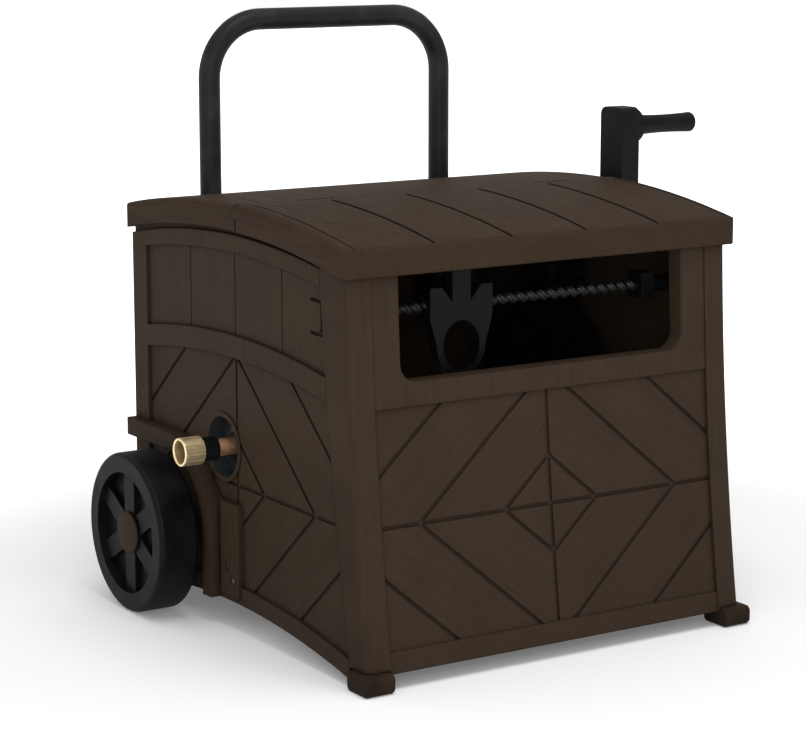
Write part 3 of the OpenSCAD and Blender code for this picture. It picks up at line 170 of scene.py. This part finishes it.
def add_node(tree, kind, inputs=None, **settings):
    """Adds a node, sets its properties, and links or sets its inputs."""
    made = tree.nodes.new(kind)
    for key, value in settings.items():
        setattr(made, key, value)
    for name, value in (inputs or {}).items():
        if isinstance(value, bpy.types.NodeSocket):
            tree.links.new(value, made.inputs[name])
        else:
            made.inputs[name].default_value = value
    return made


def new_material(name):
    """A named material with an empty node tree, its output and its shader."""
    material = bpy.data.materials.new(name)
    material.use_nodes = True
    tree = material.node_tree
    tree.nodes.clear()
    shader = add_node(tree, "ShaderNodeBsdfPrincipled")
    add_node(tree, "ShaderNodeOutputMaterial", {"Surface": shader.outputs["BSDF"]})
    return material, tree, shader


def rgba(colour):
    """A colour as red, green, blue and full alpha."""
    return (*colour, 1.0)


def shaded(colour, share):
    """A colour that keeps a share of its light."""
    return tuple(c * share for c in colour)


def object_place(tree):
    """The place on the piece, in its own coordinates."""
    return add_node(tree, "ShaderNodeTexCoord").outputs["Object"]


def calc(tree, operation, *values):
    """The result of a sum."""
    return add_node(tree, "ShaderNodeMath", dict(enumerate(values)), operation=operation).outputs[0]


def joined(tree, x, y, z):
    """A vector made of three values."""
    return add_node(tree, "ShaderNodeCombineXYZ", {"X": x, "Y": y, "Z": z}).outputs[0]


def stretched(tree, vector, factors):
    """A vector multiplied by a factor on each axis."""
    return add_node(tree, "ShaderNodeVectorMath", {0: vector, 1: factors}, operation="MULTIPLY").outputs[0]


def noise(tree, vector, scale, detail, **others):
    """The value of a noise texture."""
    inputs = {"Vector": vector, "Scale": scale, "Detail": detail, **others}
    return add_node(tree, "ShaderNodeTexNoise", inputs).outputs["Fac"]


def remap(tree, value, span, reach=(0.0, 1.0), curve="LINEAR"):
    """A value moved from one range to another."""
    inputs = {"Value": value, "From Min": span[0], "From Max": span[1]}
    inputs.update({"To Min": reach[0], "To Max": reach[1]})
    return add_node(tree, "ShaderNodeMapRange", inputs, interpolation_type=curve).outputs["Result"]


def blend(tree, part, low, high):
    """A colour between two colours."""
    inputs = {"Factor": part, 6: rgba(low), 7: rgba(high)}
    return add_node(tree, "ShaderNodeMix", inputs, data_type="RGBA").outputs[2]


def bumped(tree, height, strength, deep, **others):
    """A normal that follows a height."""
    inputs = {"Height": height, "Strength": strength, "Distance": deep, **others}
    return add_node(tree, "ShaderNodeBump", inputs).outputs["Normal"]


def wire(tree, shader, colour, rough, normal):
    """Links what a finish has worked out to its shader."""
    tree.links.new(colour, shader.inputs["Base Color"])
    tree.links.new(rough, shader.inputs["Roughness"])
    tree.links.new(normal, shader.inputs["Normal"])


def plank_grain(tree, split, flat_axis, sizes, run, streak):
    """The grain's vector on a panel: along the diagonal planks in the field, and upright round it."""
    pull = (1 / run, 1 / streak, 1.0)
    middle = BODY_MID_X if flat_axis == "X" else LID_MID_Y
    out = calc(tree, "ABSOLUTE", calc(tree, "SUBTRACT", split[flat_axis], middle))
    rise = calc(tree, "ABSOLUTE", calc(tree, "SUBTRACT", split["Z"], sizes.pattern_mid))
    turn = {"Vector": joined(tree, out, rise, 0.0), "Angle": sizes.plank_slope}
    turned = add_node(tree, "ShaderNodeVectorRotate", turn, rotation_type="Z_AXIS").outputs[0]
    diagonal = stretched(tree, turned, pull)
    upright = stretched(tree, joined(tree, split["Z"], split[flat_axis], 0.0), pull)
    under = calc(tree, "LESS_THAN", split["Z"], sizes.plank_field_top)
    within = calc(tree, "LESS_THAN", out, BODY_HALF - sizes.post_width)
    choice = {"Factor": calc(tree, "MULTIPLY", under, within), 4: upright, 5: diagonal}
    return add_node(tree, "ShaderNodeMix", choice, data_type="VECTOR").outputs[1]


def grained_resin(name, low, high, flat_axis, sizes, planks):
    """Moulded polypropylene with a wood grain pressed by the mould: satin, brown and faintly streaked.

    flat_axis is the level axis of the panel's face. With planks, the grain below the field's top
    follows the diagonal planks, and elsewhere it runs upright. Without planks it runs along Y.
    """
    run = 90 * MM
    streak = 3.5 * MM
    blotch_size = 60 * MM
    speck_size = 1.6 * MM
    grain_share = 0.65
    blotch_share = 0.35
    speck_share = 0.25
    tone_span = (0.36, 0.62)
    # Painted shade: how far the occlusion looks, and how dark it paints the colour where the view is blocked
    hollow_reach = 12 * MM
    hollow_span = (0.25, 0.9)
    hollow_shade = 0.32
    rough_span = (0.3, 0.7)
    rough_reach = (0.62, 0.5)
    grain_strength = 0.4
    grain_deep = 0.4 * MM
    specular = 0.018

    material, tree, shader = new_material(name)
    place = object_place(tree)
    split = add_node(tree, "ShaderNodeSeparateXYZ", {"Vector": place}).outputs
    if planks:
        vector = plank_grain(tree, split, flat_axis, sizes, run, streak)
    else:
        level = joined(tree, split["Y"], split["X"], split["Z"])
        vector = stretched(tree, level, (1 / run, 1 / streak, 1 / streak))
    grain = noise(tree, vector, scale=1.0, detail=5.0, Roughness=0.6, Distortion=0.6)
    blotch = noise(tree, place, scale=1 / blotch_size, detail=3.0)
    speck = noise(tree, place, scale=1 / speck_size, detail=2.0)

    tone = calc(tree, "MULTIPLY", grain, grain_share)
    tone = calc(tree, "MULTIPLY_ADD", blotch, blotch_share, tone)
    colour = blend(tree, remap(tree, tone, tone_span, curve="SMOOTHSTEP"), low, high)
    # Painted shade: ambient occlusion from this piece and its neighbours darkens the colour in grooves,
    # recesses, under the lid's skirt and between parts
    hollow = add_node(tree, "ShaderNodeAmbientOcclusion", {"Distance": hollow_reach}, samples=8).outputs["AO"]
    painted_shade = remap(tree, hollow, hollow_span, (hollow_shade, 1.0))
    colour = add_node(tree, "ShaderNodeVectorMath", {0: colour, "Scale": painted_shade}, operation="SCALE").outputs[0]

    rough = remap(tree, grain, rough_span, rough_reach)
    height = calc(tree, "MULTIPLY_ADD", speck, speck_share, grain)
    edge = add_node(tree, "ShaderNodeBevel", {"Radius": sizes.edge_blend}, samples=6).outputs["Normal"]
    normal = bumped(tree, height, grain_strength, grain_deep, Normal=edge)
    wire(tree, shader, colour, rough, normal)
    shader.inputs["IOR"].default_value = PLASTIC_IOR
    shader.inputs["Specular IOR Level"].default_value = specular
    return material


def spark_plastic(name, low, high, rough, grit, shine):
    """Moulded plastic from a spark-eroded mould: an even fine grit that breaks up the gloss.

    The real grit is about 0.2 mm and too fine to show, so grit draws it coarser. Shine is the specular level.
    """
    bloom_size = 35 * MM
    bloom_span = (0.4, 0.68)
    gloss_span = (0.3, 0.7)
    gloss_reach = (rough - 0.06, rough + 0.08)
    grit_strength = 0.25
    grit_deep = 0.15 * MM

    material, tree, shader = new_material(name)
    place = object_place(tree)
    bloom = noise(tree, place, scale=1 / bloom_size, detail=4.0)
    grits = noise(tree, place, scale=1 / grit, detail=2.0)
    colour = blend(tree, remap(tree, bloom, bloom_span), low, high)
    gloss = remap(tree, bloom, gloss_span, gloss_reach)
    wire(tree, shader, colour, gloss, bumped(tree, grits, grit_strength, grit_deep))
    shader.inputs["IOR"].default_value = PLASTIC_IOR
    shader.inputs["Specular IOR Level"].default_value = shine
    return material


def powder_coat(name, colour):
    """Baked powder paint on steel tube: a low even sheen with a shallow orange peel about 1.5 mm across."""
    peel_size = 1.5 * MM
    peel_strength = 0.2
    peel_deep = 0.1 * MM
    dust_size = 45 * MM
    dust_span = (0.45, 0.8)
    dust_gain = 2.2
    dust_lift = 0.002
    gloss_reach = (0.34, 0.48)
    specular = 0.08

    material, tree, shader = new_material(name)
    place = object_place(tree)
    peel = noise(tree, place, scale=1 / peel_size, detail=1.0)
    dust = noise(tree, place, scale=1 / dust_size, detail=5.0)
    dusty = tuple(min(1.0, c * dust_gain + dust_lift) for c in colour)
    tint = blend(tree, remap(tree, dust, dust_span), colour, dusty)
    gloss = remap(tree, dust, (0.0, 1.0), gloss_reach)
    wire(tree, shader, tint, gloss, bumped(tree, peel, peel_strength, peel_deep))
    shader.inputs["Specular IOR Level"].default_value = specular
    return material


def machined_metal(name, colour, rough, line):
    """Turned or drawn metal: bright, with fine lines round the X axis, drawn coarse enough to show.

    Line is the distance between the lines.
    """
    line_pull = 0.02
    line_strength = 0.15
    line_deep = 0.08 * MM
    gloss_reach = (rough - 0.08, rough + 0.1)
    stain_size = 14 * MM
    stain_span = (0.35, 0.6)
    stain_share = 0.8

    material, tree, shader = new_material(name)
    place = object_place(tree)
    along = stretched(tree, place, (1 / line, line_pull / line, line_pull / line))
    lines = noise(tree, along, scale=1.0, detail=3.0)
    stain = noise(tree, place, scale=1 / stain_size, detail=4.0)
    tint = blend(tree, remap(tree, stain, stain_span), shaded(colour, stain_share), colour)
    gloss = remap(tree, lines, (0.0, 1.0), gloss_reach)
    wire(tree, shader, tint, gloss, bumped(tree, lines, line_strength, line_deep))
    shader.inputs["Metallic"].default_value = 1.0
    return material


def studio_floor(name):
    """White paper sweep: matt round the box to take a soft shadow, and glowing white further out."""
    glow_span = (0.6, 1.5)
    glow_reach = (0.12, 1.0)
    rough = 0.9
    specular = 0.1

    material, tree, shader = new_material(name)
    place = object_place(tree)
    away = add_node(tree, "ShaderNodeVectorMath", {0: place}, operation="LENGTH").outputs["Value"]
    glow = remap(tree, away, glow_span, glow_reach, curve="SMOOTHSTEP")
    shader.inputs["Base Color"].default_value = rgba(linear("#DCDCDC"))
    shader.inputs["Roughness"].default_value = rough
    shader.inputs["Specular IOR Level"].default_value = specular
    shader.inputs["Emission Color"].default_value = WHITE
    tree.links.new(glow, shader.inputs["Emission Strength"])
    return material


def finish(name):
    """The named finish, made once from the scene's sizes and colours."""
    made = bpy.data.materials.get(name)
    if made is not None:
        return made
    sizes = bpy.context.scene.hose_box_sizes
    paints = bpy.context.scene.hose_box_colours
    if name == "grained_resin_front":
        return grained_resin(name, paints.resin_dark, paints.resin, "X", sizes, planks=True)
    if name == "grained_resin_side":
        return grained_resin(name, paints.resin_dark, paints.resin, "Y", sizes, planks=True)
    if name == "grained_resin_lid":
        return grained_resin(name, paints.lid_dark, paints.lid, "X", sizes, planks=False)
    if name == "grained_resin_plain":
        return grained_resin(name, paints.resin_dark, paints.resin, "X", sizes, planks=False)
    if name == "black_polypropylene":
        return spark_plastic(name, paints.black, paints.black_worn, rough=0.5, grit=1.4 * MM, shine=0.1)
    if name == "grey_acetal":
        darker = shaded(paints.grey, share=0.7)
        return spark_plastic(name, darker, paints.grey, rough=0.36, grit=1.1 * MM, shine=0.3)
    if name == "smooth_resin":
        return spark_plastic(name, paints.resin_dark, paints.resin, rough=0.55, grit=1.4 * MM, shine=0.03)
    if name == "foot_resin":
        darker = shaded(paints.resin_dark, share=0.5)
        lighter = shaded(paints.resin, share=0.7)
        return spark_plastic(name, darker, lighter, rough=0.55, grit=1.4 * MM, shine=0.03)
    if name == "slate_polypropylene":
        darker = shaded(paints.slate, share=0.8)
        return spark_plastic(name, darker, paints.slate, rough=0.5, grit=1.2 * MM, shine=0.09)
    if name == "nitrile_rubber":
        return spark_plastic(name, paints.rubber, paints.black_worn, rough=0.75, grit=0.8 * MM, shine=0.09)
    if name == "black_powder_coat":
        return powder_coat(name, tuple(paints.powder))
    if name == "machined_brass":
        return machined_metal(name, tuple(paints.brass), rough=0.42, line=0.7 * MM)
    if name == "drawn_copper":
        return machined_metal(name, tuple(paints.copper), rough=0.45, line=0.9 * MM)
    if name == "zinc_plated_steel":
        return machined_metal(name, tuple(paints.zinc), rough=0.34, line=0.9 * MM)
    raise ValueError(f"no finish named {name}")


def sharp_edges(bm, degrees):
    """Edges between two faces that meet at more than an angle."""
    limit = math.radians(degrees)
    return [e for e in bm.edges if len(e.link_faces) == 2 and e.calc_face_angle(0.0) > limit]


def soften(bm, edges, width, segments):
    """Rounds edges by a width, or all of them by less where short edges would overlap."""
    bmesh.ops.bevel(
        bm, geom=edges, offset=width, offset_type="OFFSET", segments=segments, profile=0.5,
        affect="EDGES", clamp_overlap=True, loop_slide=True, material=-1,
    )


def shave(bm, centre, radius, first, last):
    """Rounds the corner between two directions by flat cuts round a centre, and closes each cut."""
    for step in range(1, SHAVE_CUTS + 1):
        out = first.slerp(last, step / (SHAVE_CUTS + 1))
        cut = bmesh.ops.bisect_plane(
            bm, geom=[*bm.verts, *bm.edges, *bm.faces], dist=CUT_NEAR,
            plane_co=centre + radius * out, plane_no=out, clear_outer=True,
        )
        rim = [e for e in cut["geom_cut"] if isinstance(e, bmesh.types.BMEdge)]
        bmesh.ops.holes_fill(bm, edges=rim, sides=0)
    bmesh.ops.recalc_face_normals(bm, faces=bm.faces)


def lid_shaves(node, y, out, sizes):
    """Corners to shave at one end of the lid: its sloping top edge and its two upright corners.

    The end lies at y and out points away from the lid. The top is an arc, so it slopes at its end by twice
    the slope of the line from there to its crest.
    """
    points = [v.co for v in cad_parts[node].data.vertices]
    tip = max(p.z for p in points if abs(p.y - y) < TOUCH)
    slope = 2 * math.atan2(REAR_HIGH.z - tip, abs(y - LID_MID_Y))
    up = Vector((0.0, out.y * math.sin(slope), math.cos(slope)))
    sunk = sizes.lid_round * (1 - math.sin(slope)) / math.cos(slope)
    centre = Vector((0.0, y - out.y * sizes.lid_round, tip - sunk))
    shaves = [(centre, sizes.lid_round, out, up)]
    low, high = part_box(node)
    for x, side in ((low.x, Vector((-1.0, 0.0, 0.0))), (high.x, Vector((1.0, 0.0, 0.0)))):
        centre = Vector((x, y, 0.0)) - sizes.lid_corner * (side + out)
        shaves.append((centre, sizes.lid_corner, out, side))
    return shaves


def dressed(node, body, material, width, rounds=(), shaves=()):
    """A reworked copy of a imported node, which it replaces, with its edges softened by up to a width.

    rounds holds (test, width) pairs, and edges that pass a test get that wider rounding first.
    shaves holds corners that grooves run through, as (centre, radius, first, last).
    """
    bm = bmesh.new()
    bm.from_mesh(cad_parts[node].data)
    bmesh.ops.remove_doubles(bm, verts=bm.verts, dist=WELD)
    bmesh.ops.dissolve_limit(
        bm, angle_limit=math.radians(FLAT_TURN), use_dissolve_boundaries=False, verts=bm.verts,
        edges=bm.edges, delimit={"NORMAL"},
    )
    for test, wide in rounds:
        picked = [e for e in sharp_edges(bm, ROUND_TURN) if test(e)]
        soften(bm, picked, wide, ROUND_STEPS)
    for centre, radius, first, last in shaves:
        shave(bm, centre, radius, first, last)
    soften(bm, sharp_edges(bm, SOFT_TURN), width, SOFT_STEPS)
    mesh = bpy.data.meshes.new(node + "_moulding")
    bm.to_mesh(mesh)
    bm.free()
    mesh.shade_smooth()
    mesh.set_sharp_from_angle(angle=math.radians(SHADE_TURN))
    piece = bpy.data.objects.new(node + "_moulding", mesh)
    bpy.context.scene.collection.objects.link(piece)
    even = piece.modifiers.new("Even shading", "WEIGHTED_NORMAL")
    even.keep_sharp = True
    mesh.materials.append(finish(material))
    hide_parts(node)
    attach(piece, body)
    return piece


def paint(material, *nodes):
    """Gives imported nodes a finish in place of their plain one."""
    for node in nodes:
        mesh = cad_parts[node].data
        mesh.materials.clear()
        mesh.materials.append(finish(material))


def post_corner(edge):
    """Tells whether an edge is an upright outer corner of the front posts."""
    ends = [v.co for v in edge.verts]
    on_side = all(abs(p.x - BODY_MID_X) > BODY_HALF - SIDE_NEAR for p in ends)
    upright = abs(ends[0].z - ends[1].z) > abs(ends[0].y - ends[1].y)
    forward = min(f.normal.y for f in edge.link_faces) < FORWARD_FACE
    return on_side and upright and forward


def nut_mouth(edge):
    """Tells whether an edge lies on the mouth of the swivel nut."""
    return all(abs(v.co.x - NUT_LOW.x) < TOUCH for v in edge.verts)


class HOSEBOX_OT_panels(bpy.types.Operator):
    """Makes the front, side and rear panels with rounded post corners"""

    bl_idname = "hosebox.panels"
    bl_label = "Box panels"

    def execute(self, context):
        sizes = context.scene.hose_box_sizes
        posts = [(post_corner, sizes.post_round)]
        dressed("front_panel", "box", "grained_resin_front", sizes.edge_soft, posts)
        dressed("left_side_panel", "box", "grained_resin_side", sizes.edge_soft)
        dressed("right_side_panel", "box", "grained_resin_side", sizes.edge_soft)
        dressed("rear_panel", "box", "grained_resin_front", sizes.edge_soft)
        return {"FINISHED"}


class HOSEBOX_OT_lid(bpy.types.Operator):
    """Makes both halves of the lid with rounded ends"""

    bl_idname = "hosebox.lid"
    bl_label = "Lid halves"

    def execute(self, context):
        sizes = context.scene.hose_box_sizes
        front_end = lid_shaves("front_lid", LID_LOW.y, Vector((0.0, -1.0, 0.0)), sizes)
        rear_end = lid_shaves("rear_lid", REAR_HIGH.y, Vector((0.0, 1.0, 0.0)), sizes)
        dressed("front_lid", "front_lid", "grained_resin_lid", sizes.edge_soft, shaves=front_end)
        dressed("rear_lid", "box", "grained_resin_lid", sizes.edge_soft, shaves=rear_end)
        return {"FINISHED"}


class HOSEBOX_OT_feet(bpy.types.Operator):
    """Makes the front feet and the bottom brace"""

    bl_idname = "hosebox.feet"
    bl_label = "Feet and brace"

    def execute(self, context):
        sizes = context.scene.hose_box_sizes
        for node in ("foot_left", "foot_right"):
            dressed(node, "box", "foot_resin", sizes.foot_soft)
        dressed("bottom_brace", "box", "grained_resin_plain", sizes.edge_soft)
        return {"FINISHED"}


class HOSEBOX_OT_handle(bpy.types.Operator):
    """Makes the pull handle with its plugs and sleeves"""

    bl_idname = "hosebox.handle"
    bl_label = "Pull handle"

    def execute(self, context):
        sizes = context.scene.hose_box_sizes
        dressed("handle_tube", "handle", "black_powder_coat", sizes.tube_soft)
        dressed("handle_end_plugs", "handle", "black_polypropylene", sizes.small_soft)
        dressed("handle_sleeve_left", "box", "black_polypropylene", sizes.small_soft)
        dressed("handle_sleeve_right", "box", "black_polypropylene", sizes.small_soft)
        return {"FINISHED"}


class HOSEBOX_OT_wheels(bpy.types.Operator):
    """Makes the wheels with their hub caps, and finishes the axle"""

    bl_idname = "hosebox.wheels"
    bl_label = "Wheels"

    def execute(self, context):
        sizes = context.scene.hose_box_sizes
        for side in ("left", "right"):
            dressed("wheel_" + side, "wheel_" + side, "black_polypropylene", sizes.edge_soft)
            dressed("hub_cap_" + side, "wheel_" + side, "smooth_resin", sizes.small_soft)
        paint("zinc_plated_steel", "axle", "axle_washers", "axle_push_nuts")
        return {"FINISHED"}


class HOSEBOX_OT_crank(bpy.types.Operator):
    """Makes the crank arm, grip and bush, and finishes the shaft, spindle and pinion"""

    bl_idname = "hosebox.crank"
    bl_label = "Crank"

    def execute(self, context):
        sizes = context.scene.hose_box_sizes
        dressed("crank_arm", "crank", "black_polypropylene", sizes.crank_soft)
        dressed("crank_grip", "grip", "black_polypropylene", sizes.small_soft)
        dressed("crank_bush", "box", "grey_acetal", sizes.small_soft)
        paint("grey_acetal", "crank_pinion")
        paint("zinc_plated_steel", "crank_shaft", "grip_spindle")
        return {"FINISHED"}


class HOSEBOX_OT_inlet(bpy.types.Operator):
    """Makes the inlet cup, collar and swivel nut, and finishes the tube and washer"""

    bl_idname = "hosebox.inlet"
    bl_label = "Water inlet"

    def execute(self, context):
        sizes = context.scene.hose_box_sizes
        cup = dressed("inlet_cup", "box", "slate_polypropylene", sizes.small_soft)
        cup.data.materials.append(finish("smooth_resin"))
        for face in cup.data.polygons:
            if face.center.x < CUP_LOW.x + sizes.cup_rim:
                face.material_index = 1
        dressed("inlet_collar", "reel", "black_polypropylene", sizes.small_soft)
        mouth = [(nut_mouth, sizes.mouth_round)]
        dressed("inlet_swivel_nut", "inlet_nut", "machined_brass", sizes.metal_soft, mouth)
        paint("drawn_copper", "inlet_tube")
        paint("nitrile_rubber", "inlet_washer")
        return {"FINISHED"}


class HOSEBOX_OT_traverse(bpy.types.Operator):
    """Makes the hose guide and the screw's bearings, and finishes the screw, rod and gear train"""

    bl_idname = "hosebox.traverse"
    bl_label = "Hose guide"

    def execute(self, context):
        sizes = context.scene.hose_box_sizes
        dressed("hose_guide", "guide", "black_polypropylene", sizes.guide_soft)
        dressed("screw_bearing_right", "box", "black_polypropylene", sizes.small_soft)
        dressed("screw_bearing_left", "box", "black_polypropylene", sizes.small_soft)
        paint("black_polypropylene", "guide_follower", "idler_bush")
        paint("zinc_plated_steel", "guide_rod", "idler_stud")
        paint("grey_acetal", "traverse_screw", "screw_gear", "idler_gear", "reel_train_gear")
        return {"FINISHED"}


class HOSEBOX_OT_reel(bpy.types.Operator):
    """Makes the reel's drum, flanges and outlet, and finishes its shafts, bushes, gear and the small steel"""

    bl_idname = "hosebox.reel"
    bl_label = "Reel"

    def execute(self, context):
        sizes = context.scene.hose_box_sizes
        for node in ("reel_flange_left", "reel_flange_right", "reel_drum"):
            dressed(node, "reel", "black_polypropylene", sizes.small_soft)
        dressed("hose_outlet", "reel", "machined_brass", sizes.metal_soft)
        paint("black_polypropylene", "reel_shaft_left", "reel_shaft_right")
        paint("grey_acetal", "reel_bush_left", "reel_bush_right", "reel_drive_gear")
        paint("zinc_plated_steel", "lid_hinge_pins", "brace_screws")
        return {"FINISHED"}


class HOSEBOX_OT_stage(bpy.types.Operator):
    """Makes the camera, the pale floor and the soft studio light"""

    bl_idname = "hosebox.stage"
    bl_label = "Camera and studio"

    def execute(self, context):
        scene = context.scene
        scene.view_settings.view_transform = "Standard"
        lens = bpy.data.cameras.new("Photo view")
        lens.sensor_width = SENSOR_WIDTH
        lens.lens = FOCAL_LENGTH
        lens.clip_end = FAR_CLIP
        camera = bpy.data.objects.new("Photo view", lens)
        camera.location = EYE
        camera.rotation_mode = "QUATERNION"
        camera.rotation_quaternion = (TARGET - EYE).to_track_quat("-Z", "Y")
        scene.collection.objects.link(camera)
        scene.camera = camera

        bm = bmesh.new()
        bmesh.ops.create_grid(bm, x_segments=1, y_segments=1, size=FLOOR_HALF)
        mesh = bpy.data.meshes.new("Floor")
        bm.to_mesh(mesh)
        bm.free()
        floor = bpy.data.objects.new("Floor", mesh)
        floor.location.z = -FLOOR_DROP
        scene.collection.objects.link(floor)
        mesh.materials.append(studio_floor("pale_studio_floor"))

        world = bpy.data.worlds.new("Studio")
        scene.world = world
        world.use_nodes = True
        tree = world.node_tree
        seen = add_node(tree, "ShaderNodeLightPath").outputs["Is Camera Ray"]
        way = add_node(tree, "ShaderNodeTexCoord").outputs["Generated"]
        up = add_node(tree, "ShaderNodeSeparateXYZ", {"Vector": way}).outputs["Z"]
        sky = remap(tree, up, (0.0, 1.0), (SKY_LOW, SKY_HIGH))
        bright = calc(tree, "MAXIMUM", sky, seen)
        tree.nodes["Background"].inputs["Color"].default_value = WHITE
        tree.links.new(bright, tree.nodes["Background"].inputs["Strength"])
        for name, spot, side, power in LAMPS:
            light = bpy.data.lights.new(name, "AREA")
            light.size = side
            light.energy = power
            lamp = bpy.data.objects.new(name, light)
            lamp.location = spot
            lamp.rotation_mode = "QUATERNION"
            lamp.rotation_quaternion = (LAMP_AIM - Vector(spot)).to_track_quat("-Z", "Y")
            scene.collection.objects.link(lamp)
        return {"FINISHED"}


OPERATORS = (
    HOSEBOX_OT_stage,
    HOSEBOX_OT_panels,
    HOSEBOX_OT_lid,
    HOSEBOX_OT_feet,
    HOSEBOX_OT_handle,
    HOSEBOX_OT_wheels,
    HOSEBOX_OT_crank,
    HOSEBOX_OT_inlet,
    HOSEBOX_OT_traverse,
    HOSEBOX_OT_reel,
)


class HOSEBOX_PT_sidebar(bpy.types.Panel):
    """Lists the sizes, colours and makers of the hose reel box"""

    bl_idname = "HOSEBOX_PT_sidebar"
    bl_label = "Hose reel box"
    bl_space_type = "VIEW_3D"
    bl_region_type = "UI"
    bl_category = "Hose reel box"

    def draw(self, context):
        for settings in (context.scene.hose_box_sizes, context.scene.hose_box_colours):
            for name in settings.__annotations__:
                self.layout.prop(settings, name)
        for maker in OPERATORS:
            self.layout.operator(maker.bl_idname)


CLASSES = (HoseBoxSizes, HoseBoxColours, *OPERATORS, HOSEBOX_PT_sidebar)


def register():
    for cls in CLASSES:
        bpy.utils.register_class(cls)
    bpy.types.Scene.hose_box_sizes = bpy.props.PointerProperty(type=HoseBoxSizes)
    bpy.types.Scene.hose_box_colours = bpy.props.PointerProperty(type=HoseBoxColours)


def unregister():
    del bpy.types.Scene.hose_box_colours
    del bpy.types.Scene.hose_box_sizes
    for cls in reversed(CLASSES):
        bpy.utils.unregister_class(cls)


def main():
    register()
    bpy.ops.hosebox.stage()
    bpy.ops.hosebox.panels()
    bpy.ops.hosebox.lid()
    bpy.ops.hosebox.feet()
    bpy.ops.hosebox.handle()
    bpy.ops.hosebox.wheels()
    bpy.ops.hosebox.crank()
    bpy.ops.hosebox.inlet()
    bpy.ops.hosebox.traverse()
    bpy.ops.hosebox.reel()


if __name__ == "__main__":
    main()
